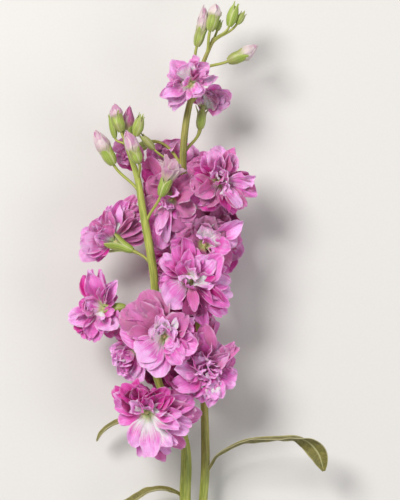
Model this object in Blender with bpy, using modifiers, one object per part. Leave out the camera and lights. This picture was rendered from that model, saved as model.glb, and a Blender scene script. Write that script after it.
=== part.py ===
"""A cut stem of double-flowered stock, Matthiola incana, lying on a surface.

The stem forks near its cut end into two flowering branches. X runs across the stem and Y along it,
from the cut end to the buds. Z is up, and the surface that the stem lies on is Z = 0.
Lengths in the tables are millimetres. A bearing turns from +X towards +Y, and a lean rises from
the XY plane towards +Z, both in degrees.
"""

import math
import random

import bmesh
import bpy
from mathutils import Matrix, Vector

MM = 0.001
UP = Vector((0.0, 0.0, 1.0))

BLADE = 0.7  # thickness of a petal
LEAF_BLADE = 0.9
LEAF_FOLD = 0.14  # rise of the edges over the midrib, as a share of width
GAP = 0.35  # clearance between neighbouring pieces
CUT_GAP = 0.3  # clearance where a stalk passes a petal
THICK_SIDES = 2  # bevel resolution of branches and buds
THIN_SIDES = 1  # and of stalks
SHARP_ANGLE = 40.0  # edges that turn more than this many degrees stay sharp

CORE_RADIUS = 2.8  # heart of a bloom, in which its petals are rooted
CALYX_LENGTH = 8.5
CALYX_RADIUS = 2.1
CALYX_BASE_RADIUS = 1.1
CALYX_BELLY = 0.35  # where the calyx is full width, as a share of its length
STALK_RADIUS = 0.8
STALK_STEPS = 3
STALK_PULL = 0.38  # how far a stalk keeps to its branch, and to its calyx, as a share of its span

ROOT_SPREAD = 1.2  # how far from the middle of the core a petal is rooted
NEAR = 6.0  # what lies this far beyond the reach of a bloom doesn't bound its room
SOFT_WALL = 2.2  # a petal starts to bend this far before a neighbour's room
SOFT_FLOOR = 0.8  # and this far before the surface
BRANCH_STEP = 2  # how finely a branch is searched for its nearest point
OVERRUN = 9.0  # the most by which a petal is drawn beyond that wall
FLOOR_BITE = 0.12  # what lies on the surface is trimmed flat by this much

# Routes of the stem: x, y, z and the radius there.
FOOT = [(-3.2, -164.5, 2.7, 3.1), (-3.0, -150.0, 2.7, 3.1), (-2.4, -137.0, 4.4, 3.1)]
RIGHT_BRANCH = [
    (-2.8, -142.0, 4.0, 2.4), (0.2, -119.5, 7.5, 2.1), (2.6, -99.5, 10.5, 2.0), (3.3, -84.5, 13.0, 2.0),
    (4.6, -67.0, 16.0, 2.0), (3.9, -34.5, 21.5, 1.9), (2.7, -12.0, 24.5, 1.9), (0.5, 12.0, 26.6, 1.9),
    (-2.3, 35.5, 28.0, 1.85), (-5.2, 60.5, 29.4, 1.85), (-6.7, 80.5, 30.2, 1.8), (-6.2, 95.5, 30.6, 1.8),
    (-4.6, 108.0, 30.8, 1.7), (-1.8, 119.5, 31.0, 1.4), (3.5, 134.5, 32.0, 1.1), (8.7, 146.5, 32.5, 0.9),
]
LEFT_BRANCH = [
    (-2.6, -142.0, 4.2, 2.6), (-4.5, -114.5, 8.2, 2.5), (-5.6, -84.5, 12.7, 2.45), (-5.0, -69.5, 15.2, 2.45),
    (-6.0, -56.0, 17.8, 2.3), (-11.0, -42.0, 21.0, 2.1), (-19.0, -26.0, 25.6, 2.0), (-21.8, -9.5, 29.0, 2.0),
    (-21.2, 5.5, 32.0, 1.9), (-20.6, 24.0, 36.0, 1.9), (-23.2, 43.0, 39.0, 1.9), (-26.2, 59.5, 40.5, 1.8),
    (-29.2, 75.5, 41.0, 1.6), (-32.8, 87.0, 41.0, 1.3), (-35.8, 95.5, 41.0, 1.1),
]
BRANCHES = {"right": RIGHT_BRANCH, "left": LEFT_BRANCH}

# Blooms: throat, the way the bloom faces as bearing and lean, branch, height on the branch where
# its stalk leaves, reach, number of petals in the ring at its back, and the petals before them,
# each as bearing, lean, length, width and roll about its own length.
BLOOMS = {
    "crown": ((-3.2, 123.5, 42.0), (150, 60), "right", 112.0, 16.0, 2, [
        (131, 5, 16, 10, 0), (103, 30, 13, 7, 20), (73, 15, 14, 7, -30), (45, 0, 14, 9, 0),
        (14, 15, 14, 6, 40), (202, 15, 18, 8, 10), (231, 5, 16, 8, 10), (160, 55, 9, 7, 0)]),
    "crown_back": ((3.2, 113.0, 23.5), (50, 5), "right", 86.0, 14.0, 3, [
        (106, 15, 9, 9, 0), (60, 20, 11, 11, 0), (17, 10, 15, 11, 0), (346, 10, 12, 9, 0)]),
    "right_shoulder": ((11.8, 75.0, 38.0), (20, 72), "right", 62.0, 19.0, 2, [
        (202, 22, 16, 13, 0), (153, -5, 18, 10, 0), (124, 12, 17, 8, -10), (106, 32, 15, 7, 20),
        (88, 0, 17.5, 11, 0), (62, 12, 18, 8, 10), (5, 18, 18.5, 8, 30), (343, 0, 20, 8, 0),
        (310, 14, 18, 8, -20), (294, -5, 18.5, 6, 20), (253, 5, 13.5, 6, 0), (30, 60, 9, 7, 0)]),
    "heart_top": ((4.2, 43.5, 38.0), (60, 66), "right", 31.0, 18.0, 1, [
        (102, 18, 14, 11, 0), (150, 8, 16, 12, 0), (190, 12, 18, 12, 0), (62, 6, 15, 11, 0),
        (28, 20, 15, 12, 0), (342, 26, 15, 12, 0), (70, 55, 9, 8, 0)]),
    "heart": ((-3.2, 26.0, 43.5), (250, 80), "right", 14.0, 20.0, 1, [
        (222, 20, 17, 14, 0), (149, 12, 16.5, 7, 25), (117, 18, 19.5, 9, 0), (90, 25, 18, 8, -20),
        (54, 22, 17, 13, 0), (345, 5, 21, 13, 0), (321, -5, 22.5, 9, 10), (300, 0, 22, 8, -20),
        (288, -14, 23, 7, 20), (20, 8, 19, 11, 0), (186, 6, 16, 12, 0)]),
    "left_far": ((-42.2, 45.0, 30.0), (155, 20), "left", 30.0, 19.0, 2, [
        (206, 10, 18.5, 10, 0), (180, 28, 17, 12, 0), (143, 15, 17, 12, 0), (110, 8, 16.5, 9, 0),
        (80, 0, 19, 9, 0), (62, -12, 22, 8, 0), (227, -5, 13, 8, 0)]),
    "left_low": ((-47.2, 11.0, 33.0), (185, 20), "left", 2.0, 18.0, 2, [
        (112, 15, 19, 11, 0), (125, -4, 19.5, 8, 0), (95, 2, 20, 6, 50), (67, 22, 15.5, 7, -20),
        (199, 8, 19, 11, 0), (172, 35, 12, 11, 0), (221, 0, 18.5, 7, 10), (246, 14, 17, 11, 0),
        (304, 20, 14, 11, 0)]),
    "mid": ((-16.2, -2.5, 44.5), (230, 78), "left", -18.0, 21.0, 2, [
        (129, -4, 22.5, 17, 0), (169, 4, 22, 15, 0), (103, -14, 23, 13, 0), (227, 36, 17, 13, 0),
        (254, 20, 23, 15, 0), (281, 10, 21, 13, 0), (128, 52, 10, 7, 0), (80, 35, 13, 7, 0),
        (308, 22, 19, 13, 0), (348, 14, 19, 13, 0), (24, 12, 18, 9, 10)]),
    "elbow": ((-31.0, -9.5, 28.0), (215, 30), "left", -22.0, 16.0, 3, [
        (185, 8, 12, 8, 0), (226, 15, 15, 9, 0), (250, 5, 15, 7, 10), (280, 12, 15, 10, 0)]),
    "low_right": ((5.2, -19.5, 37.0), (330, 68), "right", -33.0, 19.0, 2, [
        (184, 4, 20.5, 12, 0), (232, 0, 14, 8, 0), (142, 12, 19, 11, 0), (108, 8, 20, 13, 0), (72, 4, 15, 10, 0),
        (40, 8, 20, 8, 0), (18, -6, 16, 9, 0), (340, 4, 18, 12, 0), (291, 12, 17, 10, 0),
        (262, 4, 14, 7, 0), (282, 52, 10, 11, 0), (125, 55, 9, 9, 0)]),
    "low_left": ((-24.8, -40.5, 38.0), (250, 70), "left", -52.0, 21.0, 2, [
        (258, 15, 19, 11.5, 0), (272, 20, 22, 11, 0), (315, 18, 21, 14, 0), (341, 18, 22, 12, 0),
        (3, 5, 25, 12, 0), (28, 14, 17.5, 10, 0), (65, 8, 15.5, 10, 0), (103, 14, 15.5, 10, 0),
        (129, 5, 19, 10, 0), (158, 4, 19, 10, 0), (190, 0, 15, 8, 0), (287, -14, 23, 10, 0),
        (80, 58, 8, 9, 0)]),
    "shoulder_left": ((-13.2, 66.0, 36.0), (200, 70), "right", 52.0, 18.0, 0, [
        (152, 12, 16, 12, 0), (203, 5, 14, 11, 0), (250, 2, 19, 12, 0), (285, 18, 18, 12, 0),
        (322, 12, 18, 12, 0), (35, 6, 16, 12, 0), (98, 4, 14, 12, 0), (230, 52, 10, 8, 0)]),
    "small_left": ((-32.8, 89.5, 27.0), (190, 10), "right", 76.0, 11.0, 2, [
        (164, 10, 10.5, 7, 0), (227, 8, 10, 7, 0), (266, 0, 9.5, 5, 0)]),
    "back_top": ((-12.2, 82.5, 13.5), (110, -35), "right", 66.0, 17.0, 4, [
        (94, 2, 14, 13, 0), (36, -2, 16, 10, 0), (145, 5, 16, 11, 0), (184, 5, 14, 9, 0), (120, -60, 24, 12, 0)]),
    "back_right": ((9.2, 46.0, 13.5), (0, -30), "right", 34.0, 18.0, 3, [
        (123, 8, 10, 9, 0), (79, 2, 10.5, 9, 0), (40, 16, 17, 10, 0), (8, 4, 16, 12, 0),
        (330, 0, 19, 13, 0), (299, -6, 19, 11, 0),
        (320, -60, 24, 12, 0)]),
    "back_mid": ((-11.5, 33.5, 10.5), (200, -65), "right", 18.0, 17.0, 6, [
        (175, -46, 24, 12, 0), (80, -46, 24, 12, 0)]),
    "back_low": ((-9.5, -10.5, 10.5), (300, -65), "right", -25.0, 17.0, 6, [
        (335, -46, 24, 12, 0), (225, -46, 24, 12, 0)]),
}

# Buds: base of the calyx, end of the calyx, end of the petals or None where none show yet,
# radius, branch and the height on the branch where the stalk leaves.
BUDS = {
    "bud_left": ((-41.4, 83.2, 40.0), (-45.8, 89.8, 41.0), (-50.6, 100.0, 42.0), 3.3, "left", 66.0),
    "bud_pale": ((-28.6, 84.0, 46.5), (-31.0, 90.0, 47.5), (-35.2, 100.0, 48.0), 3.3, "left", 74.0),
    "bud_split": ((-37.6, 99.5, 41.0), (-40.6, 107.5, 41.0), (-42.4, 113.0, 41.0), 3.0, "left", 93.0),
    "bud_deep": ((-34.9, 99.0, 37.0), (-33.8, 104.5, 35.5), (-32.4, 111.5, 34.5), 2.6, "left", 93.0),
    "bud_green": ((-31.0, 96.0, 40.0), (-27.4, 106.5, 40.5), None, 2.1, "left", 90.0),
    "bud_opening": ((-17.7, 67.5, 45.0), (-15.0, 74.5, 46.0), (-10.8, 87.0, 46.5), 5.2, "left", 50.0),
    "bud_pink": ((-0.2, 142.5, 33.0), (2.3, 150.5, 33.5), (4.8, 161.5, 34.0), 2.5, "right", 119.0),
    "bud_tall": ((6.5, 150.5, 36.0), (8.0, 158.0, 36.5), (8.9, 162.5, 36.5), 2.4, "right", 137.0),
    "bud_end": ((15.3, 152.0, 33.0), (19.6, 164.0, 33.5), None, 2.9, "right", 144.0),
    "bud_side": ((20.2, 152.6, 32.0), (23.2, 157.6, 32.0), None, 1.6, "right", 142.0),
    "bud_tiny": ((10.4, 150.5, 31.0), (11.8, 155.0, 31.0), None, 1.2, "right", 144.0),
    "bud_right": ((15.8, 135.0, 31.0), (22.8, 138.9, 31.5), (30.3, 143.3, 32.0), 2.8, "right", 128.0),
}

# Outlines of buds: share of the length and radius there as a share of the widest
BUD_CALYX = [(0.0, 0.42), (0.45, 0.85), (1.0, 0.8)]
GREEN_BUD = [(0.0, 0.45), (0.4, 1.0), (1.0, 0.3)]
OPENING_CALYX = [(0.0, 0.25), (0.4, 0.5), (1.0, 0.52)]
BUD_TIP = [(0.0, 0.72), (0.35, 1.0), (0.75, 0.8), (1.0, 0.3)]
OPENING_TIP = [(0.0, 0.48), (0.35, 0.95), (0.75, 1.05), (1.0, 0.7)]

# Leaves: x, y, z on the midrib, full width there and the tilt of the blade from level, in degrees.
LEAVES = {
    "leaf_right": [
        (7.6, -67.2, 17.4, 2.6, 40), (10.6, -62.6, 20.0, 3.2, 50), (19.3, -57.2, 25.0, 5.5, 62),
        (26.0, -54.8, 27.5, 7.5, 66), (34.0, -53.8, 29.0, 9.0, 68), (42.0, -53.3, 30.0, 10.0, 66),
        (50.0, -53.8, 30.0, 10.0, 52), (56.5, -57.0, 29.0, 9.5, 30), (60.8, -61.5, 27.5, 8.0, 18),
        (63.0, -66.5, 26.0, 5.0, 10), (63.6, -70.5, 25.0, 1.6, 8)],
    "leaf_left": [
        (-8.9, -81.7, 13.8, 2.4, 40), (-12.2, -78.9, 15.5, 4.0, 55), (-18.2, -77.0, 17.5, 6.0, 66),
        (-24.2, -78.3, 18.0, 7.5, 68), (-29.2, -81.5, 17.0, 8.5, 66), (-33.2, -86.0, 15.5, 9.0, 60),
        (-36.8, -92.0, 13.5, 8.5, 50), (-39.6, -99.0, 11.0, 7.0, 40), (-41.6, -106.0, 9.0, 4.5, 30),
        (-42.6, -111.0, 8.0, 1.6, 30)],
    "leaf_low": [
        (-9.4, -57.4, 17.4, 2.4, 40), (-14.0, -53.5, 17.2, 3.6, 50), (-22.0, -49.0, 17.0, 5.0, 62),
        (-30.0, -46.0, 17.5, 6.0, 68), (-37.0, -45.2, 17.5, 6.0, 72), (-43.2, -47.5, 16.5, 5.4, 72),
        (-47.8, -51.6, 15.0, 4.0, 70), (-50.4, -56.0, 13.0, 1.6, 70)],
}

# Rows of points along a petal and its width there, as shares of its length and widest width
LONG_PETAL = [(0.0, 0.20), (0.36, 0.48), (0.72, 1.0), (1.0, 0.70)]
SHORT_PETAL = [(0.0, 0.20), (0.62, 1.0), (1.0, 0.70)]
SHORT_LENGTH = 14.0  # up to this length a petal has the short rows
NARROW_PETAL = 7.0  # up to this width it has one strip across, and otherwise two
CORNER_PULL = 0.20  # how far the corners of the tip lie behind its middle, as a share of length
NOTCHES = [0.0, 0.03, 0.06]  # depth of the notch in the tip, as a share of length
CURL = (-0.10, 0.16)  # bend of the blade along its length, and the least and most it may be
CUP = (-0.10, 0.16)  # bend across its width
WAVE = 0.05  # wave of the edges, as a share of width
ARCH = 0.36  # how much a petal rises the way its bloom faces before it spreads
SINK = 0.05  # how deep it starts in the core, as a share of its length

# The ring at the back of a bloom
RING_TILT = 88.0  # angle between a petal and the way the bloom faces
INNER_RING_TILT = 62.0
FULL_RING = 5  # from more petals than this, every other one stands in the inner ring
RING_JITTER = 8.0
RING_LENGTH = (0.86, 1.0)  # shares of the reach of the bloom
RING_WIDTH = (0.50, 0.62)


def clear_scene():
    for item in list(bpy.data.objects):
        bpy.data.objects.remove(item, do_unlink=True)


def make_collection(name):
    group = bpy.data.collections.new(name)
    bpy.context.scene.collection.children.link(group)
    return group


def mark_cutter(item):
    item.hide_render = True
    item.display_type = "WIRE"


def make_material(name, colour, roughness):
    material = bpy.data.materials.new(name)
    material.use_nodes = True
    shader = material.node_tree.nodes["Principled BSDF"]
    shader.inputs["Base Color"].default_value = (*colour, 1.0)
    shader.inputs["Roughness"].default_value = roughness
    shader.inputs["Metallic"].default_value = 0.0
    return material


def finish(item, material):
    item.data.materials.clear()
    item.data.materials.append(material)
    item.data.shade_smooth()
    item.data.set_sharp_from_angle(angle=math.radians(SHARP_ANGLE))


def place(name, mesh, group):
    item = bpy.data.objects.new(name, mesh)
    group.objects.link(item)
    return item


def direction(bearing, lean):
    flat = math.cos(math.radians(lean))
    x = flat * math.cos(math.radians(bearing))
    y = flat * math.sin(math.radians(bearing))
    return Vector((x, y, math.sin(math.radians(lean))))


def apply_modifiers(item):
    graph = bpy.context.evaluated_depsgraph_get()
    mesh = bpy.data.meshes.new_from_object(item.evaluated_get(graph))
    item.modifiers.clear()
    item.data = mesh


def largest_body(item):
    """Keep the biggest closed shell, which drops loose scrap and fills sealed hollows."""
    shape = bmesh.new()
    shape.from_mesh(item.data)
    bmesh.ops.triangulate(shape, faces=shape.faces[:])
    waiting = set(shape.faces)
    best = set()
    while waiting:
        shell = {waiting.pop()}
        edge_of_shell = list(shell)
        while edge_of_shell:
            face = edge_of_shell.pop()
            near = {other for edge in face.edges for other in edge.link_faces}
            fresh = near & waiting
            waiting -= fresh
            shell |= fresh
            edge_of_shell.extend(fresh)
        if len(shell) > len(best):
            best = shell
    scrap = [face for face in shape.faces if face not in best]
    bmesh.ops.delete(shape, geom=scrap, context="FACES")
    loose = [vertex for vertex in shape.verts if not vertex.link_faces]
    bmesh.ops.delete(shape, geom=loose, context="VERTS")
    shape.to_mesh(item.data)
    shape.free()


def fuse(item, parts, solver="EXACT"):
    """Join the objects of a collection to one object by a single union."""
    union = item.modifiers.new("union", "BOOLEAN")
    union.operation = "UNION"
    union.operand_type = "COLLECTION"
    union.collection = parts
    union.solver = solver
    apply_modifiers(item)
    for part in list(parts.objects):
        bpy.data.objects.remove(part, do_unlink=True)
    bpy.data.collections.remove(parts)


def cut_away(item, cutter, solver="EXACT"):
    cut = item.modifiers.new("cut", "BOOLEAN")
    cut.operation = "DIFFERENCE"
    cut.object = cutter
    cut.solver = solver
    apply_modifiers(item)


def tube(name, route, group, sides, extra=0.0):
    """A round stalk through points of x, y, z and radius, as a closed mesh."""
    curve = bpy.data.curves.new(name, "CURVE")
    curve.dimensions = "3D"
    curve.bevel_depth = MM
    curve.bevel_resolution = sides
    curve.use_fill_caps = True
    spline = curve.splines.new("POLY")
    spline.points.add(len(route) - 1)
    for point, (x, y, z, radius) in zip(spline.points, route):
        point.co = (x * MM, y * MM, z * MM, 1.0)
        point.radius = radius + extra
    wire = place(name, curve, group)
    graph = bpy.context.evaluated_depsgraph_get()
    mesh = bpy.data.meshes.new_from_object(wire.evaluated_get(graph))
    bpy.data.objects.remove(wire, do_unlink=True)
    shape = bmesh.new()
    shape.from_mesh(mesh)
    bmesh.ops.remove_doubles(shape, verts=shape.verts[:], dist=0.000001)
    bmesh.ops.recalc_face_normals(shape, faces=shape.faces[:])
    bmesh.ops.triangulate(shape, faces=shape.faces[:])
    shape.to_mesh(mesh)
    shape.free()
    return place(name, mesh, group)


def branch_at(route, height):
    """Point, direction and radius of a branch at a height along Y."""
    for low, high in zip(route, route[1:]):
        if low[1] <= height <= high[1]:
            share = (height - low[1]) / (high[1] - low[1])
            start, end = Vector(low[:3]), Vector(high[:3])
            radius = low[3] + (high[3] - low[3]) * share
            return start.lerp(end, share), (end - start).normalized(), radius
    raise ValueError("height outside the branch")


def stalk_route(branch, height, end, heading):
    """Points of a stalk that leaves a branch and arrives at a calyx along its heading."""
    start, along, radius = branch_at(BRANCHES[branch], height)
    pull = STALK_PULL * (end - start).length
    first, second = start + along * pull, end - heading * pull
    points = []
    for step in range(STALK_STEPS):
        t = step / STALK_STEPS
        spot = start * (1 - t) ** 3 + first * 3 * t * (1 - t) ** 2
        spot += second * 3 * t * t * (1 - t) + end * t ** 3
        points.append((*spot, STALK_RADIUS))
    return points


def bloom_stalk(name):
    throat, facing, branch, height = BLOOMS[name][:4]
    heading = direction(*facing)
    mouth = Vector(throat) - heading * (CORE_RADIUS + GAP)
    base = mouth - heading * CALYX_LENGTH
    belly = base.lerp(mouth, CALYX_BELLY)
    route = stalk_route(branch, height, base, heading)
    route += [(*base, CALYX_BASE_RADIUS), (*belly, CALYX_RADIUS), (*mouth, CALYX_RADIUS)]
    return route


def bud_stalk(name):
    base, end, petals, radius, branch, height = BUDS[name]
    base, end = Vector(base), Vector(end)
    heading = (end - base).normalized()
    route = stalk_route(branch, height, base, heading)
    body = BUD_CALYX if petals else GREEN_BUD
    if name == "bud_opening":
        body = OPENING_CALYX
    route += [(*base.lerp(end, share), radius * width) for share, width in body]
    return route


def stem_routes():
    routes = {name: (route, THICK_SIDES) for name, route in BRANCHES.items()}
    for name in BLOOMS:
        routes["stalk_" + name] = (bloom_stalk(name), THIN_SIDES)
    for name in BUDS:
        routes["stalk_" + name] = (bud_stalk(name), THIN_SIDES)
    return routes


def build_stem(name, group, extra=0.0):
    """The forked stem with every stalk and calyx, fused."""
    parts = make_collection(name + "_parts")
    stem = tube(name, FOOT, group, THICK_SIDES, extra)
    for label, (route, sides) in stem_routes().items():
        tube(label, route, parts, sides, extra)
    fuse(stem, parts)
    largest_body(stem)
    return stem


def floor_cutter(group):
    """A block whose top is the surface that the stem lies on."""
    mesh = bpy.data.meshes.new("floor_cutter")
    shape = bmesh.new()
    bmesh.ops.create_cube(shape, size=1.0)
    shape.to_mesh(mesh)
    shape.free()
    mesh.transform(Matrix.Translation((0.0, 0.0, -0.5)))
    block = place("floor_cutter", mesh, group)
    mark_cutter(block)
    return block


def walls_of(name):
    """Walls of the room of a bloom: a point, the inward normal, the clearance and the softness."""
    throat, reach = Vector(BLOOMS[name][0]), BLOOMS[name][4]
    walls = [(Vector(), UP, BLADE / 2 - FLOOR_BITE, SOFT_FLOOR)]
    for other, record in BLOOMS.items():
        away = Vector(record[0]) - throat
        apart = away.length
        if other == name or apart > reach + record[4] + NEAR:
            continue
        share = (apart ** 2 + reach ** 2 - record[4] ** 2) / (2 * apart)
        inward = -away.normalized()
        walls.append((throat - inward * share, inward, (BLADE + GAP) / 2, SOFT_WALL))
    for route in BRANCHES.values():
        nearest, radius = nearest_on(route, throat)
        if (nearest - throat).length < reach + NEAR:
            inward = (throat - nearest).normalized()
            walls.append((nearest, inward, radius + GAP + BLADE / 2, SOFT_WALL))
    return walls


def nearest_on(route, target):
    low, high = math.ceil(route[0][1]), math.floor(route[-1][1])
    spots = [branch_at(route, height) for height in range(low, high, BRANCH_STEP)]
    best = min(spots, key=lambda spot: (spot[0] - target).length)
    return best[0], best[2]


def bend_clear(point, walls):
    """Move a point back into the room, gently near a wall and fully beyond it."""
    for turn in range(4):
        for spot, normal, clearance, soft in walls:
            inside = (point - spot).dot(normal) - clearance
            if turn == 0 and inside < soft:
                point = point + normal * (soft * math.exp(inside / soft - 1) - inside)
            elif inside < 0:
                point = point - normal * inside
    return point


def room_along(throat, heading, walls):
    """Distance from the throat to the first wall met along a heading."""
    room = 1000.0
    for spot, normal, clearance, soft in walls:
        closing = -heading.dot(normal)
        if closing > 0:
            room = min(room, ((throat - spot).dot(normal) - clearance) / closing)
    return room


def petal_frame(heading, front, roll):
    side = heading.cross(front)
    side.normalize()
    side = Matrix.Rotation(math.radians(roll), 3, heading) @ side
    return side, side.cross(heading)


def petal(name, record, heading, front, size, rng, walls, group, hidden=False):
    """One petal: a narrow claw that widens to a rounded, waved blade, bent clear of the walls."""
    length, width, roll = size
    throat, facing = Vector(record[0]), direction(*record[1])
    length = min(length, room_along(throat, heading, walls) + OVERRUN)
    side, face = petal_frame(heading, front, roll)
    spoke = heading - facing * heading.dot(facing)
    root = throat + spoke * ROOT_SPREAD
    rows = SHORT_PETAL if length <= SHORT_LENGTH or hidden else LONG_PETAL
    columns = 1 if width <= NARROW_PETAL else 2
    curl, cup = rng.uniform(*CURL), rng.uniform(*CUP)
    notch = rng.choice(NOTCHES)
    shape = bmesh.new()
    bmesh.ops.create_grid(shape, x_segments=columns, y_segments=len(rows) - 1, size=1.0)
    for vertex in shape.verts:
        across = vertex.co.x
        t, share = rows[round((vertex.co.y + 1) / 2 * (len(rows) - 1))]
        reach = t - (CORNER_PULL * across ** 2 + notch * (1 - across ** 2)) * t ** 4
        spot = root + heading * (length * reach - ROOT_SPREAD * t)
        spot += facing * length * (1 - t) * (ARCH * t - SINK)
        spot += side * across * width / 2 * share
        spot += face * (length * curl * t * t + width * cup * across ** 2 * t)
        spot += face * rng.uniform(-WAVE, WAVE) * width * abs(across) * t
        vertex.co = bend_clear(spot, walls) * MM
    bmesh.ops.triangulate(shape, faces=shape.faces[:], quad_method="ALTERNATE")
    mesh = bpy.data.meshes.new(name)
    shape.to_mesh(mesh)
    shape.free()
    blade = place(name, mesh, group)
    thicken(blade, BLADE)
    return blade


def thicken(blade, thickness):
    skin = blade.modifiers.new("skin", "SOLIDIFY")
    skin.thickness = thickness * MM
    skin.offset = 0.0
    skin.use_rim = True
    apply_modifiers(blade)
    shape = bmesh.new()
    shape.from_mesh(blade.data)
    bmesh.ops.recalc_face_normals(shape, faces=shape.faces[:])
    bmesh.ops.triangulate(shape, faces=shape.faces[:])
    shape.to_mesh(blade.data)
    shape.free()


def ring_petals(record, rng):
    """Headings and sizes of the petals in the ring at the back of a bloom."""
    facing, reach, count = direction(*record[1]), record[4], record[5]
    across = facing.orthogonal().normalized()
    start = rng.uniform(0, 360)
    for number in range(count):
        turn = start + 360 * number / count + rng.uniform(-RING_JITTER, RING_JITTER)
        tilt = INNER_RING_TILT if number % 2 and count > FULL_RING else RING_TILT
        spoke = Matrix.Rotation(math.radians(turn), 3, facing) @ across
        heading = facing * math.cos(math.radians(tilt)) + spoke * math.sin(math.radians(tilt))
        yield heading, (reach * rng.uniform(*RING_LENGTH), reach * rng.uniform(*RING_WIDTH), 0)


def build_bloom(name, group, stem_cutter, floor):
    """A double bloom: petals in layers, rooted in a small core."""
    record = BLOOMS[name]
    throat = Vector(record[0])
    rng = random.Random("bloom " + name)
    walls = walls_of(name)
    parts = make_collection(name + "_petals")
    for number, (bearing, lean, *size) in enumerate(record[6]):
        heading = direction(bearing, lean)
        petal(f"{name}_petal_{number}", record, heading, UP, size, rng, walls, parts)
    for number, (heading, size) in enumerate(ring_petals(record, rng)):
        front = direction(*record[1])
        petal(f"{name}_ring_{number}", record, heading, front, size, rng, walls, parts, hidden=True)
    shape = bmesh.new()
    bmesh.ops.create_icosphere(shape, subdivisions=1, radius=CORE_RADIUS * MM)
    mesh = bpy.data.meshes.new(name)
    shape.to_mesh(mesh)
    shape.free()
    mesh.transform(Matrix.Translation(throat * MM))
    bloom = place("bloom_" + name, mesh, group)
    # The thin crossing blades leave open edges in an EXACT union, so blooms use MANIFOLD
    fuse(bloom, parts, "MANIFOLD")
    cut_away(bloom, floor, "MANIFOLD")
    cut_away(bloom, stem_cutter, "MANIFOLD")
    largest_body(bloom)
    return bloom


def build_bud(name, group):
    """The petals that show at the end of a bud."""
    base, end, petals, radius = BUDS[name][:4]
    heading = (Vector(end) - Vector(base)).normalized()
    start, tip = Vector(end) + heading * GAP, Vector(petals)
    middle = start + heading * (tip - start).length / 2
    body = OPENING_TIP if name == "bud_opening" else BUD_TIP
    route = []
    for share, width in body:
        spot = start.lerp(middle, share).lerp(middle.lerp(tip, share), share)
        route.append((*spot, radius * width))
    return tube(name, route, group, THICK_SIDES)


def build_leaf(name, group):
    """A narrow leaf folded a little along its midrib, following its route with a turning blade."""
    route = LEAVES[name]
    spots = [Vector(point[:3]) for point in route]
    shape = bmesh.new()
    bmesh.ops.create_grid(shape, x_segments=2, y_segments=len(route) - 1, size=1.0)
    for vertex in shape.verts:
        row = round((vertex.co.y + 1) / 2 * (len(route) - 1))
        along = (spots[min(row + 1, len(route) - 1)] - spots[max(row - 1, 0)]).normalized()
        width, tilt = route[row][3:]
        side = Matrix.Rotation(math.radians(tilt), 3, along) @ along.cross(UP).normalized()
        fold = side.cross(along) * abs(vertex.co.x) * width * LEAF_FOLD
        vertex.co = (spots[row] + side * vertex.co.x * width / 2 + fold) * MM
    bmesh.ops.triangulate(shape, faces=shape.faces[:], quad_method="FIXED")
    mesh = bpy.data.meshes.new(name)
    shape.to_mesh(mesh)
    shape.free()
    leaf = place(name, mesh, group)
    thicken(leaf, LEAF_BLADE)
    return leaf


def main():
    clear_scene()
    plant = make_collection("stock_flower")
    cutters = make_collection("cutters")
    green = make_material("stem_green", (0.33, 0.42, 0.12), 0.6)
    leaf_green = make_material("leaf_olive", (0.30, 0.33, 0.12), 0.65)
    pink = make_material("petal_pink", (0.72, 0.30, 0.55), 0.6)
    pale = make_material("bud_pale_pink", (0.86, 0.62, 0.72), 0.6)

    floor = floor_cutter(cutters)
    stem_cutter = build_stem("stem_cutter", cutters, CUT_GAP)
    mark_cutter(stem_cutter)
    stem = build_stem("stem", plant)
    cut_away(stem, floor)
    largest_body(stem)
    finish(stem, green)
    for name in BLOOMS:
        finish(build_bloom(name, plant, stem_cutter, floor), pink)
    for name, record in BUDS.items():
        if record[2]:
            finish(build_bud(name, plant), pale)
    for name in LEAVES:
        finish(build_leaf(name, plant), leaf_green)


main()
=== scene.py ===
"""Looks of the cut stem of double-flowered stock: petals, calyxes, buds, stalks and leaves.

The tables follow the routes and the main petals of the CAD part, in millimetres and degrees. A
bearing turns from +X towards +Y, and a lean rises from level towards +Z. The petals in a table
stand in text, each as bearing, lean, length, width, roll where it has one, tone and form.
"""
import math
import random
from collections import namedtuple

import bpy
import numpy as np
from mathutils import Matrix


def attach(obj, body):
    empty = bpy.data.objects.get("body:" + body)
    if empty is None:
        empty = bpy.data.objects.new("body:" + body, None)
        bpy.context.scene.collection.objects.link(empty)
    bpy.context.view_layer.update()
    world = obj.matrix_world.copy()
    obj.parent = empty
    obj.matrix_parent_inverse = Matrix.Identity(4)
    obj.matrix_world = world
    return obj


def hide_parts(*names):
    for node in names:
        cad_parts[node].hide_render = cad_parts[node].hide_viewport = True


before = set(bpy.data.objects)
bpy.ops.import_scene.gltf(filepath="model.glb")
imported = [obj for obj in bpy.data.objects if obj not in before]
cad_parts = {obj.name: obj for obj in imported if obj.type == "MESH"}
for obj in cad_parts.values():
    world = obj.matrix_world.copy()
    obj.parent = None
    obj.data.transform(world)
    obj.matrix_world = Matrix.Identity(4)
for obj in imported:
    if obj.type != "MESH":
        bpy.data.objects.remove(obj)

MM = 0.001
UP = np.array((0.0, 0.0, 1.0))
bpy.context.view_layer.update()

Bloom = namedtuple("Bloom", "throat facing branch height reach ring small main more")
Bud = namedtuple("Bud", "base end tip radius branch height tone", defaults=[None])

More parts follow.
